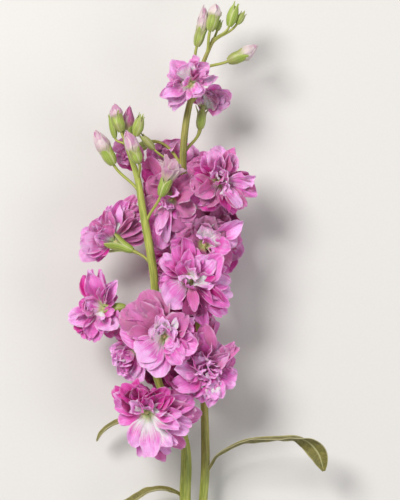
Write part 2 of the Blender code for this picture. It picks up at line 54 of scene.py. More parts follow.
# Routes of the stem: x, y, z and the radius there
FOOT = [
    (-3.2, -164.5, 3.2, 2.9), (-3.0, -150.0, 3.2, 3.0), (-2.4, -137.0, 4.6, 3.0), (-1.8, -131.0, 5.3, 2.2)]
RIGHT_BRANCH = [
    (-2.8, -142.0, 4.0, 2.4), (0.2, -119.5, 7.5, 2.2), (2.7, -99.5, 10.5, 2.2), (3.5, -84.5, 13.0, 2.2),
    (4.5, -67.0, 16.0, 2.25), (3.9, -34.5, 21.5, 1.9), (2.7, -12.0, 24.5, 1.9), (0.5, 12.0, 26.6, 1.9),
    (-2.3, 35.5, 28.0, 1.85), (-5.2, 60.5, 29.4, 1.85), (-6.7, 80.5, 30.2, 1.8), (-6.2, 95.5, 30.6, 1.8),
    (-4.6, 108.0, 30.8, 1.7), (-1.8, 119.5, 31.0, 1.4), (3.5, 134.5, 32.0, 1.1), (8.7, 146.5, 32.5, 0.9),
]
LEFT_BRANCH = [
    (-2.6, -142.0, 4.2, 2.6), (-4.5, -114.5, 8.2, 2.7), (-5.7, -84.5, 12.7, 2.85), (-5.2, -69.5, 15.2, 2.8),
    (-6.0, -56.0, 17.8, 2.3), (-11.0, -42.0, 21.0, 2.1), (-19.0, -26.0, 25.6, 2.0), (-21.8, -9.5, 29.0, 2.0),
    (-21.2, 5.5, 32.0, 1.9), (-20.9, 24.0, 36.0, 2.1), (-23.6, 43.0, 39.0, 2.1), (-26.6, 59.5, 40.5, 1.9),
    (-29.2, 75.5, 41.0, 1.6), (-32.8, 87.0, 41.0, 1.3), (-35.8, 95.5, 41.0, 1.1),
]
BRANCHES = {"right": RIGHT_BRANCH, "left": LEFT_BRANCH}

# Blooms: throat, the way the bloom faces, branch, height where the stalk leaves, reach, number of
# petals in the ring at the back and of small ones round the throat, the main petals, which follow
# those of the CAD part, and more that fill the bloom out
BLOOMS = {
    "crown": Bloom((-3.2, 123.5, 42.0), (150, 60), "right", 112.0, 16.0, 5, 3, """
    131 8 15.5 11 lilac spear, 106 36 13 10 white round, 73 15 12.5 7 -30 mauve fold,
    45 0 14 9 lilac spear, 14 15 14 6 40 lilac fold, 206 22 17 9 10 pale spear,
    231 5 16 8 10 pale spear, 160 55 8 6 pale cup""", """
    209 14 17.1 10 -20 lilac spear, 225 10 15.8 8 lilac spear, 238 8 16.1 8 pale spear,
    43 25 12.9 7 20 lilac spear, 90 18 11 6 -30 mauve blade, 10 10 14.9 6 30 lilac spear,
    247 16 10.7 7 lilac spear, 129 2 11 9 mauve flat, 48 34 9 6 30 mauve blade,
    306 12 8.8 9 lilac flat, 328 22 8.2 6 20 pale fold"""),
    "crown_back": Bloom((3.2, 113.0, 23.5), (83, 2), "right", 86.0, 14.0, 0, 1, """
    106 15 9 9 haze flat, 60 30 11 11 haze fan, 22 24 16 11 haze fan, 40 -10 14 10 haze fan""", """
    33 30 14.7 12 pale round, 15 22 16.8 10 10 lilac fan, 3 20 10.2 11 -10 lilac flat,
    60 26 10.3 11 pale flat, 32 44 9.2 10 pallid round, 103 8 6.2 9 haze flat, 65 34 4.6 9 pale round,
    38 -8 9.8 11 haze flat, 21 0 14 10 lilac flat, 80 -20 6.5 11 mauve flat, 203 0 2.6 7 haze flat"""),
    "right_shoulder": Bloom((11.8, 75.0, 38.0), (20, 72), "right", 62.0, 19.0, 7, 7, """
    202 22 16 13 mauve round, 153 -5 18 10 rose flat, 124 12 17 8 -10 pink fold,
    106 32 15 7 20 pink cup, 88 0 17.5 11 pale ruff, 62 12 16.5 8 10 lilac fold,
    5 18 18.5 8 30 pale ruff, 343 0 20 8 pink ruff, 310 14 18 8 -20 pale fold,
    294 -5 18.5 6 20 deep fold, 253 5 13.5 6 deep flat, 30 60 9 7 pink cup""", """
    76 22 17 8 rose blade, 97 26 18.4 9 lilac ruff, 343 0 19.3 9 rose flat, 286 2 16.6 7 deep blade,
    162 8 14.8 9 deep fold, 239 14 10.9 9 pink round, 159 2 18.2 11 rose flat, 182 -2 18 11 deep fan,
    216 0 18.6 11 pink fan, 241 -4 17.7 11 deep flat, 124 10 14.6 8 10 pink fold,
    136 4 16.7 9 rose flat, 314 0 18.7 9 rose fold, 63 6 18.7 8 rose spear, 115 40 10.8 8 pale fold,
    58 44 9.1 7 white fold"""),
    "heart_top": Bloom((4.2, 43.5, 38.0), (60, 66), "right", 31.0, 18.0, 6, 2, """
    102 10 14 11 gloom flat, 150 8 16 12 rose flat, 190 12 18 12 pink back, 62 2 15 11 gloom ruff,
    28 20 15 12 rose back, 342 26 15 12 pink cup, 70 55 9 8 pale cup""", """
    33 16 23.7 9 20 pale fold, 129 12 11.9 12 gloom flat, 170 8 12.2 12 rose cup,
    19 6 18.7 11 mauve flat, 43 0 16 9 pallid fold, 76 22 15.6 12 gloom flat,
    102 20 12.5 10 gloom flat, 46 26 13.8 9 gloom fan, 7 22 17 9 lilac fan, 25 36 11.7 9 pallid fan,
    81 40 13.2 8 pallid fan"""),
    "heart": Bloom((-3.2, 26.0, 43.5), (250, 80), "right", 14.0, 20.0, 8, 5, """
    222 16 18 16 pale round, 149 12 16.5 7 25 pink fold, 117 18 19.5 9 pink flat,
    90 25 18 8 -20 pink fold, 54 22 17 13 pale cup, 345 5 21 13 pale ruff, 321 -5 22.5 9 10 deep fold,
    300 0 22 7 -20 deep fold, 288 -14 23 7 20 shade fold, 20 8 19 11 pink ruff, 186 6 16 12 pink flat""", """
    29 15 21.3 14 pink cup, 92 8 28.3 8 15 pink fold, 138 4 18.1 9 pink flat, 276 22 18.6 6 mauve fold,
    293 -6 23.4 6 deep flat, 325 -4 23.8 9 pink fold, 129 24 12.1 9 pink cup, 67 34 13.8 9 pale cup,
    311 -4 25.9 9 pink flat, 337 -2 22.9 9 pale fan, 3 0 20.5 10 pink flat, 287 -4 26.2 8 pink fold,
    278 -12 24.3 10 shade flat, 270 -16 22.4 10 shade flat, 272 12 19.4 9 shade flat,
    284 12 19.5 9 shade flat"""),
    "left_far": Bloom((-42.2, 45.0, 30.0), (155, -12), "left", 30.0, 19.0, 0, 0, """
    206 10 18.5 10 lilac back, 180 28 17 12 lilac back, 143 15 15 12 mauve back, 110 8 15 9 pale fold,
    80 0 19 9 pale fold, 62 -12 22 8 deep fold, 227 -5 13 8 pink flat""", """
    195 4 17.1 7 lilac fold, 184 22 17.3 8 pale back, 165 10 15.8 8 20 lilac fold,
    145 24 16.1 8 -10 mauve back, 123 8 15 8 10 pale fold, 104 18 16.8 7 mauve ruff,
    90 6 18.1 7 30 pale hook, 74 10 18.5 7 -20 white hook, 44 8 18.2 7 70 mauve flat,
    214 10 14.6 7 pink fold, 225 2 10.6 6 deep fold, 67 -10 23.2 8 pink ruff, 171 36 12.5 7 pale fold,
    27 -14 16.1 10 dusk fan, 53 -8 18.4 9 mauve fold, 41 -10 20.9 8 mauve spear,
    69 -6 22.1 8 pink ruff, 6 -18 16.4 9 shade flat, 180 40 10.4 9 mauve back, 142 44 11.4 8 pale back,
    108 46 11.4 8 mauve back, 29 -4 17.7 9 mauve fan, 16 -10 16.9 9 dusk flat,
    355 -14 17.6 8 mauve fan, 53 -8 22 9 mauve ruff, 61 -10 26.6 8 mauve flat, 52 -14 23.5 9 pink flat,
    163 8 17.4 8 pale fold"""),
    "left_low": Bloom((-47.2, 11.0, 33.0), (185, -6), "left", 2.0, 18.0, 0, 4, """
    110 15 19 11 pink fold, 120 -4 19.5 8 deep flat, 95 2 20 6 50 pink fold,
    67 22 15.5 7 -20 pale fold, 199 8 19 11 pale flat, 172 35 12 11 pale fan,
    221 0 18.5 7 10 deep fold, 246 14 17 11 pink ruff, 304 20 14 11 pale cup""", """
    115 8 21.2 7 20 pale fold, 103 12 21 5 -20 pink blade, 87 16 19.8 4 30 pale blade,
    71 20 14.6 4 -30 white blade, 60 8 16.3 5 30 pale blade, 100 -4 16.8 6 pink fold,
    160 22 12.6 9 mauve fold, 199 2 18 8 10 pale ruff, 216 -4 18.6 7 pink ruff, 239 6 17.6 8 pink fold,
    258 0 16.4 8 pink ruff, 284 18 13 9 pale cup, 326 10 11.7 10 pink flat, 349 24 8.9 6 pink fold,
    261 50 9.5 5 white cup, 58 14 17.6 7 pale spear, 54 22 12.7 6 20 pink fold,
    58 22 17.2 7 10 pale fold, 45 16 11.8 7 pink fold, 162 14 13.5 8 pink fold, 240 2 17.9 9 pink ruff,
    299 0 15.4 9 mauve flat"""),
    "mid": Bloom((-16.2, -2.5, 44.5), (230, 78), "left", -18.0, 21.0, 7, 3, """
    129 -4 22.5 17 rose fan, 169 4 22 15 pink flat, 103 -14 23 13 rose fan, 211 36 20 14 pale round,
    239 27 20.5 14 pale round, 254 16 22 14 pale round, 147 40 10 8 white round, 80 35 13 7 white fold,
    110 26 13 6 white blade, 40 42 9.5 9 pale cup, 312 22 18 11 pink cup, 348 14 19 13 pink cup,
    24 12 18 9 10 pink fold""", """
    131 4 23.8 15 rose fan, 154 2 25.5 13 rose fan, 110 -4 23 13 rose fan, 4 6 16.1 11 pink cup,
    320 8 17.2 11 pink fold, 177 4 21.1 10 pink flat, 183 14 19.1 7 30 rose fold,
    196 10 16.4 7 deep fold, 311 24 11.6 8 pale fold, 63 30 15.5 6 20 white blade,
    21 34 10.3 6 pale cup, 172 50 11.8 7 white cup, 268 8 15.2 9 pale round, 106 -5 25.1 14 rose fan,
    122 0 24.7 13 rose fan, 153 34 8.1 6 white fold, 45 30 6.5 7 white hook,
    315 18 11.9 9 20 pink fold, 323 30 8.7 7 pale fold, 340 8 15 9 pink ruff"""),
    "elbow": Bloom((-31.0, -9.5, 28.0), (215, 30), "left", -22.0, 16.0, 5, 0, """
    185 18 13 8 pale fold, 226 25 15 9 pale fold, 250 15 15 7 10 pink fold, 280 12 15 10 pale ruff""", """
    184 14 13.6 9 pale fold, 214 20 15.1 9 pale fold, 240 14 16.7 9 pale fold,
    247 28 14.8 5 20 pink blade, 262 8 16.8 9 pale ruff, 283 12 17.8 10 pale flat,
    172 30 8.4 7 pale fold, 229 40 13 7 pale fold, 193 18 13.7 8 white fold, 219 18 15.1 8 white round"""),
    "low_right": Bloom((5.2, -19.5, 37.0), (330, 68), "right", -33.0, 19.0, 8, 8, """
    184 4 20.5 12 deep cup, 232 0 14 8 deep flat, 142 12 19 11 pale flat, 108 8 20 13 pink cup,
    72 4 15 10 haze flat, 40 8 20 8 mauve fold, 18 -6 16 9 mauve flat, 340 4 16.5 12 pale ruff,
    291 12 17 10 pale ruff, 262 4 14 7 pale fold, 282 52 10 11 pale cup, 125 55 9 9 pale cup""", """
    123 7 25.1 14 mauve cup, 101 4 25 12 mauve cup, 51 16 16 11 10 haze fan,
    35 6 20.3 8 -20 mauve fold, 29 20 15.3 7 lilac fold, 342 6 16 10 pale fan,
    255 12 15.4 9 white ruff, 282 18 16.1 8 white ruff, 154 22 12.4 8 30 pink fold,
    126 26 11.1 8 -20 white ruff, 300 30 10.7 8 20 pale ruff, 228 10 9.6 8 pink fold,
    187 6 22.2 12 deep flat, 189 14 21.5 14 shade flat, 209 22 20.3 12 pink flat,
    174 28 21 9 pale fold, 40 20 14.8 8 haze fold, 237 10 15.7 9 pink ruff, 280 12 18.7 9 pale ruff,
    265 8 16.7 8 pink fold, 132 44 11.2 8 pale ruff, 219 44 7.8 8 pale ruff, 303 44 9.1 8 pink ruff"""),
    "low_left": Bloom((-24.8, -40.5, 38.0), (250, 70), "left", -52.0, 21.0, 8, 0, """
    251 24 20 10 claw flat, 276 27 24.5 11 claw round, 310 24 23 10 10 white flat,
    334 26 21 9 -10 claw fold, 3 5 25 12 mauve flat, 28 14 17.5 10 deep fold, 65 26 15.5 10 deep ruff,
    103 14 15.5 10 deep cup, 129 5 19 10 deep fold, 158 4 19 10 pink ruff, 190 0 15 8 pink flat,
    287 -14 23 10 mauve flat, 80 58 7 7 pale cup""", """
    248 8 19 9 pale flat, 287 -4 26.2 8 mauve ruff, 314 -6 26.4 9 mauve ruff, 298 2 24.4 7 pale fold,
    332 14 24.5 8 pale fold, 311 16 23.3 7 20 claw fold, 57 24 18 11 deep fold, 17 4 25.8 11 pink cup,
    356 -2 28.2 12 mauve flat, 30 0 23.8 11 mauve fold, 342 8 24 9 pale fold, 73 22 13.5 5 deep blade,
    46 20 16.3 5 deep blade, 27 16 18.2 5 pale blade, 134 14 20 7 40 deep hook,
    156 8 19.8 7 -30 deep hook, 167 6 17 8 10 pink ruff, 118 14 16.6 7 -20 deep hook,
    105 24 14.5 7 10 deep fold, 113 44 12.1 7 20 pink fold, 77 46 13.3 7 -30 pink fold,
    45 38 12.7 7 20 pale hook, 142 36 13.1 7 -20 pale fold, 159 28 10.8 6 30 pale hook,
    23 30 14.6 7 pale fold, 140 52 11.4 6 white hook, 74 54 9.7 6 white hook, 19 44 12.7 6 white hook,
    268 5 23.1 9 claw flat, 3 24 20.4 8 pink fold, 82 34 14.6 8 deep fold, 48 34 17.2 8 deep fold,
    27 30 19 7 deep fold"""),
    "shoulder_left": Bloom((-13.2, 66.0, 36.0), (200, 70), "right", 52.0, 18.0, 7, 4, """
    152 12 16 12 rose fan, 203 5 14 11 rose fan, 250 2 19 12 pink round, 285 18 18 12 dusk round,
    322 12 18 12 rose round, 35 6 16 12 deep flat, 98 4 14 12 rose flat, 230 52 10 8 pale cup""", """
    263 2 25.7 14 pink round, 288 0 23.1 12 pink flat, 253 20 17.8 6 white hook,
    270 22 11.9 10 rose round, 322 20 15.5 10 rose round, 120 8 14 12 rose flat,
    51 4 13.5 12 rose flat, 238 26 13.7 5 white hook, 249 14 20.4 6 20 pale fold,
    358 8 11.6 10 rose fan, 59 2 13.5 11 rose fan, 324 14 11.4 10 pink round, 132 -2 20.9 10 deep flat,
    152 -4 15.9 11 rose flat, 119 -6 25.2 10 rose flat, 247 24 18.9 5 lilac fold,
    258 26 21.1 6 20 pale hook"""),
    "small_left": Bloom((-32.8, 89.5, 27.0), (210, 34), "right", 76.0, 11.0, 5, 4, """
    164 10 10.5 7 pink flat, 227 8 10 7 mauve flat, 266 0 9.5 5 deep flat""", """
    163 18 10.9 9 20 lilac spear, 204 20 10.4 9 lilac spear, 8 4 7.2 8 mauve flat,
    238 14 8.5 7 -20 pink spear, 171 34 7.8 7 mauve fold, 207 36 6.8 7 30 lilac fold"""),
    "back_top": Bloom((-12.2, 82.5, 13.5), (110, -35), "right", 66.0, 17.0, 10, 6, """
    94 2 14 13 lilac fan, 36 -2 16 10 lilac flat, 145 5 16 11 haze flat, 184 5 14 9 lilac flat,
    120 -60 24 12 pink flat""", """
    120 22 15 13 haze fan, 70 14 15.3 14 lilac fan, 185 24 12.1 12 lilac flat, 103 28 15.7 13 haze fan,
    77 16 13.4 12 lilac flat, 156 30 14 11 pink flat, 127 38 12.7 10 haze flat"""),
    # Its further petals are mostly dark with painted shade, to fill the shaded gap behind the blooms above
    "back_right": Bloom((9.2, 46.0, 13.5), (0, -30), "right", 34.0, 18.0, 10, 6, """
    123 8 10 9 rose flat, 79 2 10.5 9 rose flat, 40 16 16 10 rose back, 8 4 14.5 12 lilac flat,
    330 0 17 13 lilac flat, 299 -6 19 11 pink flat, 320 -60 24 12 pink flat""", """
    107 6 18.4 13 shade flat, 78 4 17.4 13 shade flat, 48 8 16.9 11 dusk ruff, 119 20 19.5 12 dusk fan,
    102 14 21.1 12 mauve flat, 88 26 17.3 11 dusk flat, 133 30 13.4 10 mauve fan,
    45 8 17.9 11 dusk flat"""),
    "back_mid": Bloom((-11.5, 33.5, 10.5), (200, -65), "right", 18.0, 17.0, 12, 6, """
    175 -46 24 12 pink flat, 80 -46 24 12 pink flat""", """
    121 28 17.1 10 mauve ruff, 175 32 12.7 9 pink fold, 232 28 15.9 10 mauve fold,
    102 34 18.5 11 pink flat, 264 20 16.6 12 deep flat, 148 34 15.9 7 20 pink fold,
    185 32 13.8 7 -20 pale fold, 214 32 14.6 7 10 deep hook, 237 30 16.5 7 pink fold,
    109 34 24.3 8 mauve fold, 132 14 22 10 deep flat, 147 10 16.6 10 mauve flat,
    120 14 25.5 11 mauve fan, 176 10 13.4 9 deep fold, 210 10 14.3 9 pink fold"""),
    # Its further petals are mostly dark with painted shade, to fill the shaded gaps between the blooms above
    "back_low": Bloom((-9.5, -10.5, 10.5), (300, -65), "right", -25.0, 17.0, 12, 6, """
    335 -46 24 12 pink flat, 225 -46 24 12 pink flat""", """
    83 24 28.7 14 shade flat, 62 20 29.4 14 shade flat, 35 14 26.8 13 mauve ruff,
    66 30 25.2 10 deep fold, 250 26 20.1 13 shade flat, 278 16 21 13 shade flat,
    14 26 15.8 12 mauve flat, 228 10 21.3 12 shade flat, 245 6 22.8 12 shade flat,
    210 6 21.8 12 shade flat, 92 34 25.3 12 shade flat, 227 16 22.6 12 shade flat,
    217 14 24.1 10 shade flat, 35 10 26.5 10 mauve flat"""),
}

# Buds: base of the calyx, end of the calyx, end of the petals or None where none show yet, radius,
# branch, height on the branch where the stalk leaves, and the tone of the petals
BUDS = {
    "bud_left": Bud((-41.4, 83.2, 40), (-45.2, 90, 41), (-51, 100.6, 42), 3.5, "left", 66, "blush"),
    "bud_pale": Bud((-28.6, 84, 46.5), (-31, 90, 47.5), (-35.2, 100, 48), 3.3, "left", 74, "blush"),
    "bud_split": Bud((-37.4, 99.5, 41), (-39.8, 107.5, 41), (-41, 113.4, 41), 3.2, "left", 93, "blush"),
    "bud_deep": Bud((-34.6, 95.5, 37.5), (-34.6, 100.5, 36), (-33.2, 112.6, 34.5), 2.9, "left", 92, "deep"),
    "bud_green": Bud((-30.4, 97.5, 40), (-27.6, 106.5, 40.5), None, 2.5, "left", 90),
    "bud_nib": Bud((-40.6, 96.5, 39), (-42.6, 106, 39.5), None, 1.5, "left", 92),
    "bud_bent": Bud((-21.4, 91, 38), (-27, 97.2, 39), None, 1.8, "right", 76),
    "bud_opening": Bud((-17.7, 67.5, 45), (-15, 74.5, 46), (-10.8, 87, 46.5), 5.2, "left", 50, "mauve"),
    "bud_pink": Bud((0.2, 142.5, 33), (2.4, 150.5, 33.5), (4, 162.8, 34), 2.7, "right", 119, "lilac"),
    "bud_tall": Bud((6.8, 150, 36), (9, 158, 36.5), (10.2, 163.6, 36.5), 3.1, "right", 137, "cream"),
    "bud_end": Bud((16.4, 152.5, 33), (19.6, 162.6, 33.5), None, 2.6, "right", 144),
    "bud_side": Bud((20.4, 153.8, 32), (23.6, 159, 32), None, 1.6, "right", 142),
    "bud_tiny": Bud((10.4, 150.5, 31), (11.8, 155, 31), None, 1.2, "right", 144),
    "bud_right": Bud((15.8, 135, 31), (23.2, 138.2, 31.5), (30.8, 143, 32), 3.4, "right", 128, "cream"),
}
# Petals of the opening bud, with their turn round it and their tilt out of it in place of a bearing
# and a lean
OPENING_PETALS = """
    0 16 13.5 7 opening spear, 50 30 14 7 20 opening spear, 100 20 15.5 7 -20 opening spear,
    150 36 14 7 opening spear, 195 18 16.5 7 30 opening spear, 240 38 13.5 7 pink spear,
    290 24 16 7 -30 opening spear, 330 34 14 7 opening spear, 20 6 12 6 deep fold,
    140 8 12.5 6 40 deep fold, 260 8 12 6 -40 deep fold, 80 14 13 6 60 pink fold"""

# Leaves: x, y, z on the midrib, full width there and the tilt of the blade from level
LEAVES = {
    "leaf_right": [
        (5.6, -70.5, 16.4, 2.0, 20), (7.6, -67.2, 17.4, 2.2, 40), (10.6, -62.6, 20.0, 3.2, 62),
        (19.3, -57.2, 25.0, 5.5, 72), (26.0, -54.8, 27.5, 7.5, 76), (34.0, -53.8, 29.0, 9.0, 77),
        (42.0, -53.5, 30.0, 10.0, 82), (50.0, -53.3, 30.0, 10.0, 80), (56.7, -56.2, 29.0, 10.2, 38),
        (61.1, -61.4, 27.5, 9.2, 14), (63.0, -66.5, 26.0, 6.2, 8), (64.0, -70.6, 25.0, 1.6, 8)],
    "leaf_left": [
        (-6.9, -85.0, 12.8, 2.0, 30), (-8.9, -82.8, 13.8, 2.4, 50), (-12.2, -81.4, 15.5, 4.0, 62),
        (-18.2, -80.2, 17.5, 6.0, 72), (-24.2, -81.4, 18.0, 7.5, 73), (-29.2, -84.5, 17.0, 8.5, 70),
        (-33.2, -87.5, 15.5, 9.0, 62), (-36.8, -92.0, 13.5, 8.5, 50), (-39.6, -99.0, 11.0, 7.0, 40),
        (-41.6, -106.0, 9.0, 4.5, 30), (-42.6, -111.0, 8.0, 1.6, 30)],
    "leaf_low": [
        (-7.0, -59.5, 17.4, 2.0, 30), (-9.4, -57.4, 17.4, 2.4, 50), (-14.0, -53.5, 17.2, 3.6, 62),
        (-22.0, -49.0, 17.0, 5.0, 74), (-30.0, -46.0, 17.5, 6.0, 76), (-37.0, -45.9, 17.5, 6.0, 76),
        (-43.2, -48.2, 16.5, 5.8, 72), (-47.8, -52.0, 15.0, 4.4, 66), (-50.4, -56.0, 13.0, 1.6, 70)],
}

# Tone of a petal from pale to deep, how far up it the white claw reaches, which paints shade on the
# petal where it is negative, and its share of mauve. Tones with a negative share are in painted shade
TONES = {
    "white": (0.12, 0.60, 0.0), "claw": (0.18, 0.34, 0.0), "pale": (0.14, 0.14, 0.0),
    "pink": (0.44, 0.05, 0.05), "deep": (0.92, 0.0, 0.0), "mauve": (0.50, 0.05, 0.75),
    "blush": (0.16, 0.46, 0.16), "lilac": (0.06, 0.08, 0.45), "opening": (0.26, 0.24, 0.30),
    "dusk": (0.55, -0.55, 0.8), "shade": (0.95, -0.80, 0.1), "haze": (0.12, 0.16, 0.75),
    "pallid": (0.25, 0.50, 0.9), "gloom": (0.32, -0.62, 1.0), "rose": (0.60, -0.25, 0.9),
    "cream": (-0.22, 0.5, 0.0),
}
# Cup across, curl along, fold about the midrib, how much the edge is ruffled, how pointed the tip
# is and how broad the claw is
FORMS = {
    "flat": (0.02, 0.0, 0.0, 1.0, 0.0, 0.18), "cup": (0.20, 0.10, 0.0, 0.8, 0.0, 0.20),
    "back": (-0.16, -0.12, 0.0, 0.8, 0.0, 0.20), "fold": (0.02, 0.02, 0.34, 1.1, 0.15, 0.20),
    "ruff": (0.02, 0.0, 0.05, 1.9, 0.0, 0.18), "round": (-0.10, -0.06, 0.0, 0.5, 0.0, 0.22),
    "blade": (0.04, 0.0, 0.50, 0.8, 0.75, 0.30), "hook": (-0.12, -0.34, 0.12, 1.0, 0.1, 0.25),
    "fan": (-0.04, -0.04, 0.0, 0.8, 0.0, 0.22), "spear": (0.02, -0.04, 0.24, 0.7, 0.62, 0.28),
}

# Bearing of the side that the ring and the small petals of a bloom leave open, and the tones of
# those petals where they aren't the usual mixture
OPEN_SIDES = {"low_left": 265, "mid": 245, "crown": 325, "left_low": 0}
RING_TONES = {
    "low_right": "pink pale", "elbow": "pale pink", "crown": "lilac haze", "heart": "deep pink pale",
    "low_left": "deep shade", "back_low": "deep", "mid": "mauve mauve pink", "crown_back": "haze",
    "shoulder_left": "rose mauve", "heart_top": "rose gloom", "right_shoulder": "mauve rose deep",
    "back_right": "mauve mauve deep", "back_top": "lilac haze",
}
SMALL_TONES = {
    "small_left": "lilac mauve", "mid": "white pale", "crown": "lilac pale", "crown_back": "haze",
    "back_top": "haze", "low_left": "deep deep pink", "left_low": "pale", "heart": "pale white pink",
    "right_shoulder": "pale white mauve", "low_right": "pale white pale", "heart_top": "pallid pale",
}
RING_FORMS = ("flat", "fold", "ruff")
# Length and width of those petals, as shares of the reach of the bloom, and how far they roll
RING_LENGTH, RING_WIDTH, RING_ROLL = (0.68, 0.95), (0.46, 0.66), (-30, 30)
SMALL_LENGTH, SMALL_WIDTH, SMALL_ROLL = (0.34, 0.62), (0.26, 0.46), (-75, 75)
GOLDEN_ANGLE = 137.508

# The rules that place a petal of the CAD part, repeated here
CORE_RADIUS = 2.8
CALYX_LENGTH = 8.5
ROOT_SPREAD = 1.2
ARCH = 0.36
SINK = 0.05
GAP = 0.35  # between a calyx and the core of its bloom
NEAR = 6.0  # what lies this far beyond the reach of a bloom makes no wall
CURL = (-0.10, 0.16)
CUP = (-0.10, 0.16)
NOTCHES = [0.0, 0.03, 0.06]
WAVE = 0.05
CAD_SLACK = 9.0  # how far the length of a petal may pass the first wall of its room
# Curl, cup and notch of petals that the CAD part doesn't have
FLAT_BENDS = (0.03, 0.03, 0.0)
SMALL_BENDS = (0.1, 0.1, 0.03)
OPENING_BENDS = (0.05, 0.1, 0.03)

PETAL_ROWS = 22
PETAL_COLUMNS = 17
PETAL_SLACK = 6.0  # how far the length of a petal of the visual model may pass that wall
CLAW_ROWS = 0.42  # share of the rows that lie in the claw
HEAD_START = 0.56  # where the blade is widest, as a share of the length
ROUNDNESS = 0.92  # 1 is an oval blade, 0 a square one
PETAL_THICKNESS = 0.30
RIM_THICKNESS = 0.12
# Waves of the edge, as the height and the limits of how many there are: ripples out of the blade,
# and teeth along its outline
RIPPLES = [(0.075, (2.6, 4.2)), (0.036, (6.5, 10.0))]
TEETH = [(0.017, (3.0, 6.0)), (0.005, (11.0, 16.0))]
# Limits of what is drawn for each petal, most of it as a share of its length or its width
POINTING, SKEW, SWAY = (-0.10, 0.28), (-0.20, 0.20), (-0.20, 0.20)
NOTCH, NOTCH_PLACE, NOTCH_WIDTH = (0.0, 0.05), (-0.3, 0.3), 0.24
FOLDING, FOLD_PLACE, TILT = (-0.08, 0.14), (-0.25, 0.25), (-0.18, 0.18)
TIP_CURL, SIDE_CURL, RIM_CURL = (-0.10, 0.08), (-0.16, 0.30), (-0.06, 0.09)
PLEATS, WALL_GAP = (8.0, 13.0), (0.0, 0.9)
OVERLAP = 4.5  # how far the petals of a bloom may reach between those of its neighbour
FLOOR_CLEARANCE, FLOOR_SOFTNESS = 0.3, 0.8
STALK_CLEARANCE = 0.4
FRONT, SQUEEZE = 50.5, 3.4  # petals in front of this height are pressed back into so much more
WALL_SOFTNESS = 2.2

# Share of the length and width there: calyx of a bloom in millimetres, and calyxes and tips of
# buds in shares of the radius of the bud
CALYX = [(0.0, 1.05), (0.12, 1.6), (0.35, 2.05), (0.7, 2.0), (1.0, 1.9)]
GREEN_CALYX = [(0.0, 0.42), (0.2, 0.78), (0.45, 1.0), (0.75, 0.84), (1.0, 0.30)]
BUD_CALYX = [(0.0, 0.38), (0.2, 0.66), (0.5, 0.84), (1.0, 0.78)]
OPENING_CALYX = [(0.0, 0.25), (0.2, 0.40), (0.5, 0.52), (1.0, 0.52)]
BUD_TIP = [(0.0, 0.72), (0.32, 1.1), (0.6, 0.96), (0.85, 0.52), (1.0, 0.08)]
OPENING_TIP = [(0.0, 0.48), (0.35, 0.85), (0.75, 0.85), (1.0, 0.5)]
# How far the sepals of a bloom flare in millimetres, and their length as a share of the calyx
SEPALS = {"left_far": (4.2, 1.60), "crown_back": (1.3, 1.40)}
USUAL_SEPALS = (0.6, 1.34)
# How olive a branch is at heights along it
OLIVES = {"right": [(-78.0, 0.05), (-66.0, 0.72)], "left": [(-78.0, -0.15), (-66.0, 0.08), (-30.0, 0.0)]}
STEM_SIDES, CALYX_SIDES, STALK_SIDES = 24, 16, 12
# Half the angle that a sepal covers, how far it bulges, how far every other one stands out and
# its thickness
SEPAL_SPAN, SEPAL_BULGE, SEPAL_STEP, SEPAL_THICKNESS = 52, 0.16, 0.10, 0.28
# The core of a bloom along the way it faces, its radius, and how much deeper it can lie
CORE_BACK, CORE_FRONT, CORE_WIDTH, DEEP_CORE = -2.2, 1.2, 1.35, 1.6
# The petals wrapped round a bud: how many, half the angle of each, and its thickness inside and at
# the edge
WRAPPED, WRAP_SPAN, WRAP_THICKNESS, WRAP_EDGE = 6, 76, 0.24, 0.12
# A stalk's radius under a bloom, a bud with petals and a green bud
BLOOM_STALK, BUD_STALK, GREEN_STALK = 0.78, 0.72, 0.6
SHARP_FROM = 65
BLOOM_SEED, BUD_SEED, LEAF_SEED, STEM_SEED = 7919, 131, 17, 41


def direction(bearing, lean):
    flat = math.cos(math.radians(lean))
    x = flat * math.cos(math.radians(bearing))
    y = flat * math.sin(math.radians(bearing))
    return np.array((x, y, math.sin(math.radians(lean))))


def unit(vector):
    return vector / np.linalg.norm(vector)


def square_to(vector):
    """A direction at right angles to a vector."""
    return unit(np.cross(vector, UP if abs(vector[2]) < 0.9 else (0.0, 1.0, 0.0)))


def turned(vector, axis, degrees):
    """The vector turned about an axis."""
    angle = math.radians(degrees)
    across = np.cross(axis, vector)
    return (vector * math.cos(angle) + across * math.sin(angle)
            + axis * np.dot(axis, vector) * (1 - math.cos(angle)))


def waves(draw, kinds, turn, phases):
    return sum(height * np.sin(draw(*often) * turn + phase) for (height, often), phase in zip(kinds, phases))


def ease(low, high, value):
    share = np.clip((value - low) / (high - low), 0.0, 1.0)
    return share * share * (3.0 - 2.0 * share)


def profile_at(profile, share):
    return np.interp(share, *zip(*profile))


def seeded(name, factor):
    return np.random.default_rng(sum(map(ord, name)) * factor)


def circle(angles, first, second):
    """Points at angles on a unit circle in the plane of two directions."""
    return np.cos(angles)[..., None] * first + np.sin(angles)[..., None] * second


def half_span(degrees, t, end, least):
    """Half the angle that a sepal or a wrapped petal covers, narrowing towards its tip."""
    return np.radians(degrees) * np.sqrt(np.clip(1 - ease(0.45, end, t) ** 1.3, least, 1))


def placed(name, data):
    item = bpy.data.objects.new(name, data)
    bpy.context.scene.collection.objects.link(item)
    return item


def run_along(spots):
    """Length of the route from its start to each of its spots."""
    return np.concatenate([[0], np.cumsum(np.linalg.norm(np.diff(spots, axis=0), axis=1))])


def steps_along(spots):
    """Direction of the route at each of its spots."""
    ahead = np.gradient(spots, axis=0)
    return ahead / np.linalg.norm(ahead, axis=1, keepdims=True)


def petal_rows(text):
    """The bearing and lean, the length, width and roll, the tone and the form of each petal in a text."""
    for entry in text.split(","):
        *numbers, tone, form = entry.split()
        bearing, lean, length, width, roll = (list(map(float, numbers)) + [0.0])[:5]
        yield (bearing, lean), (length, width, roll), tone, FORMS[form]


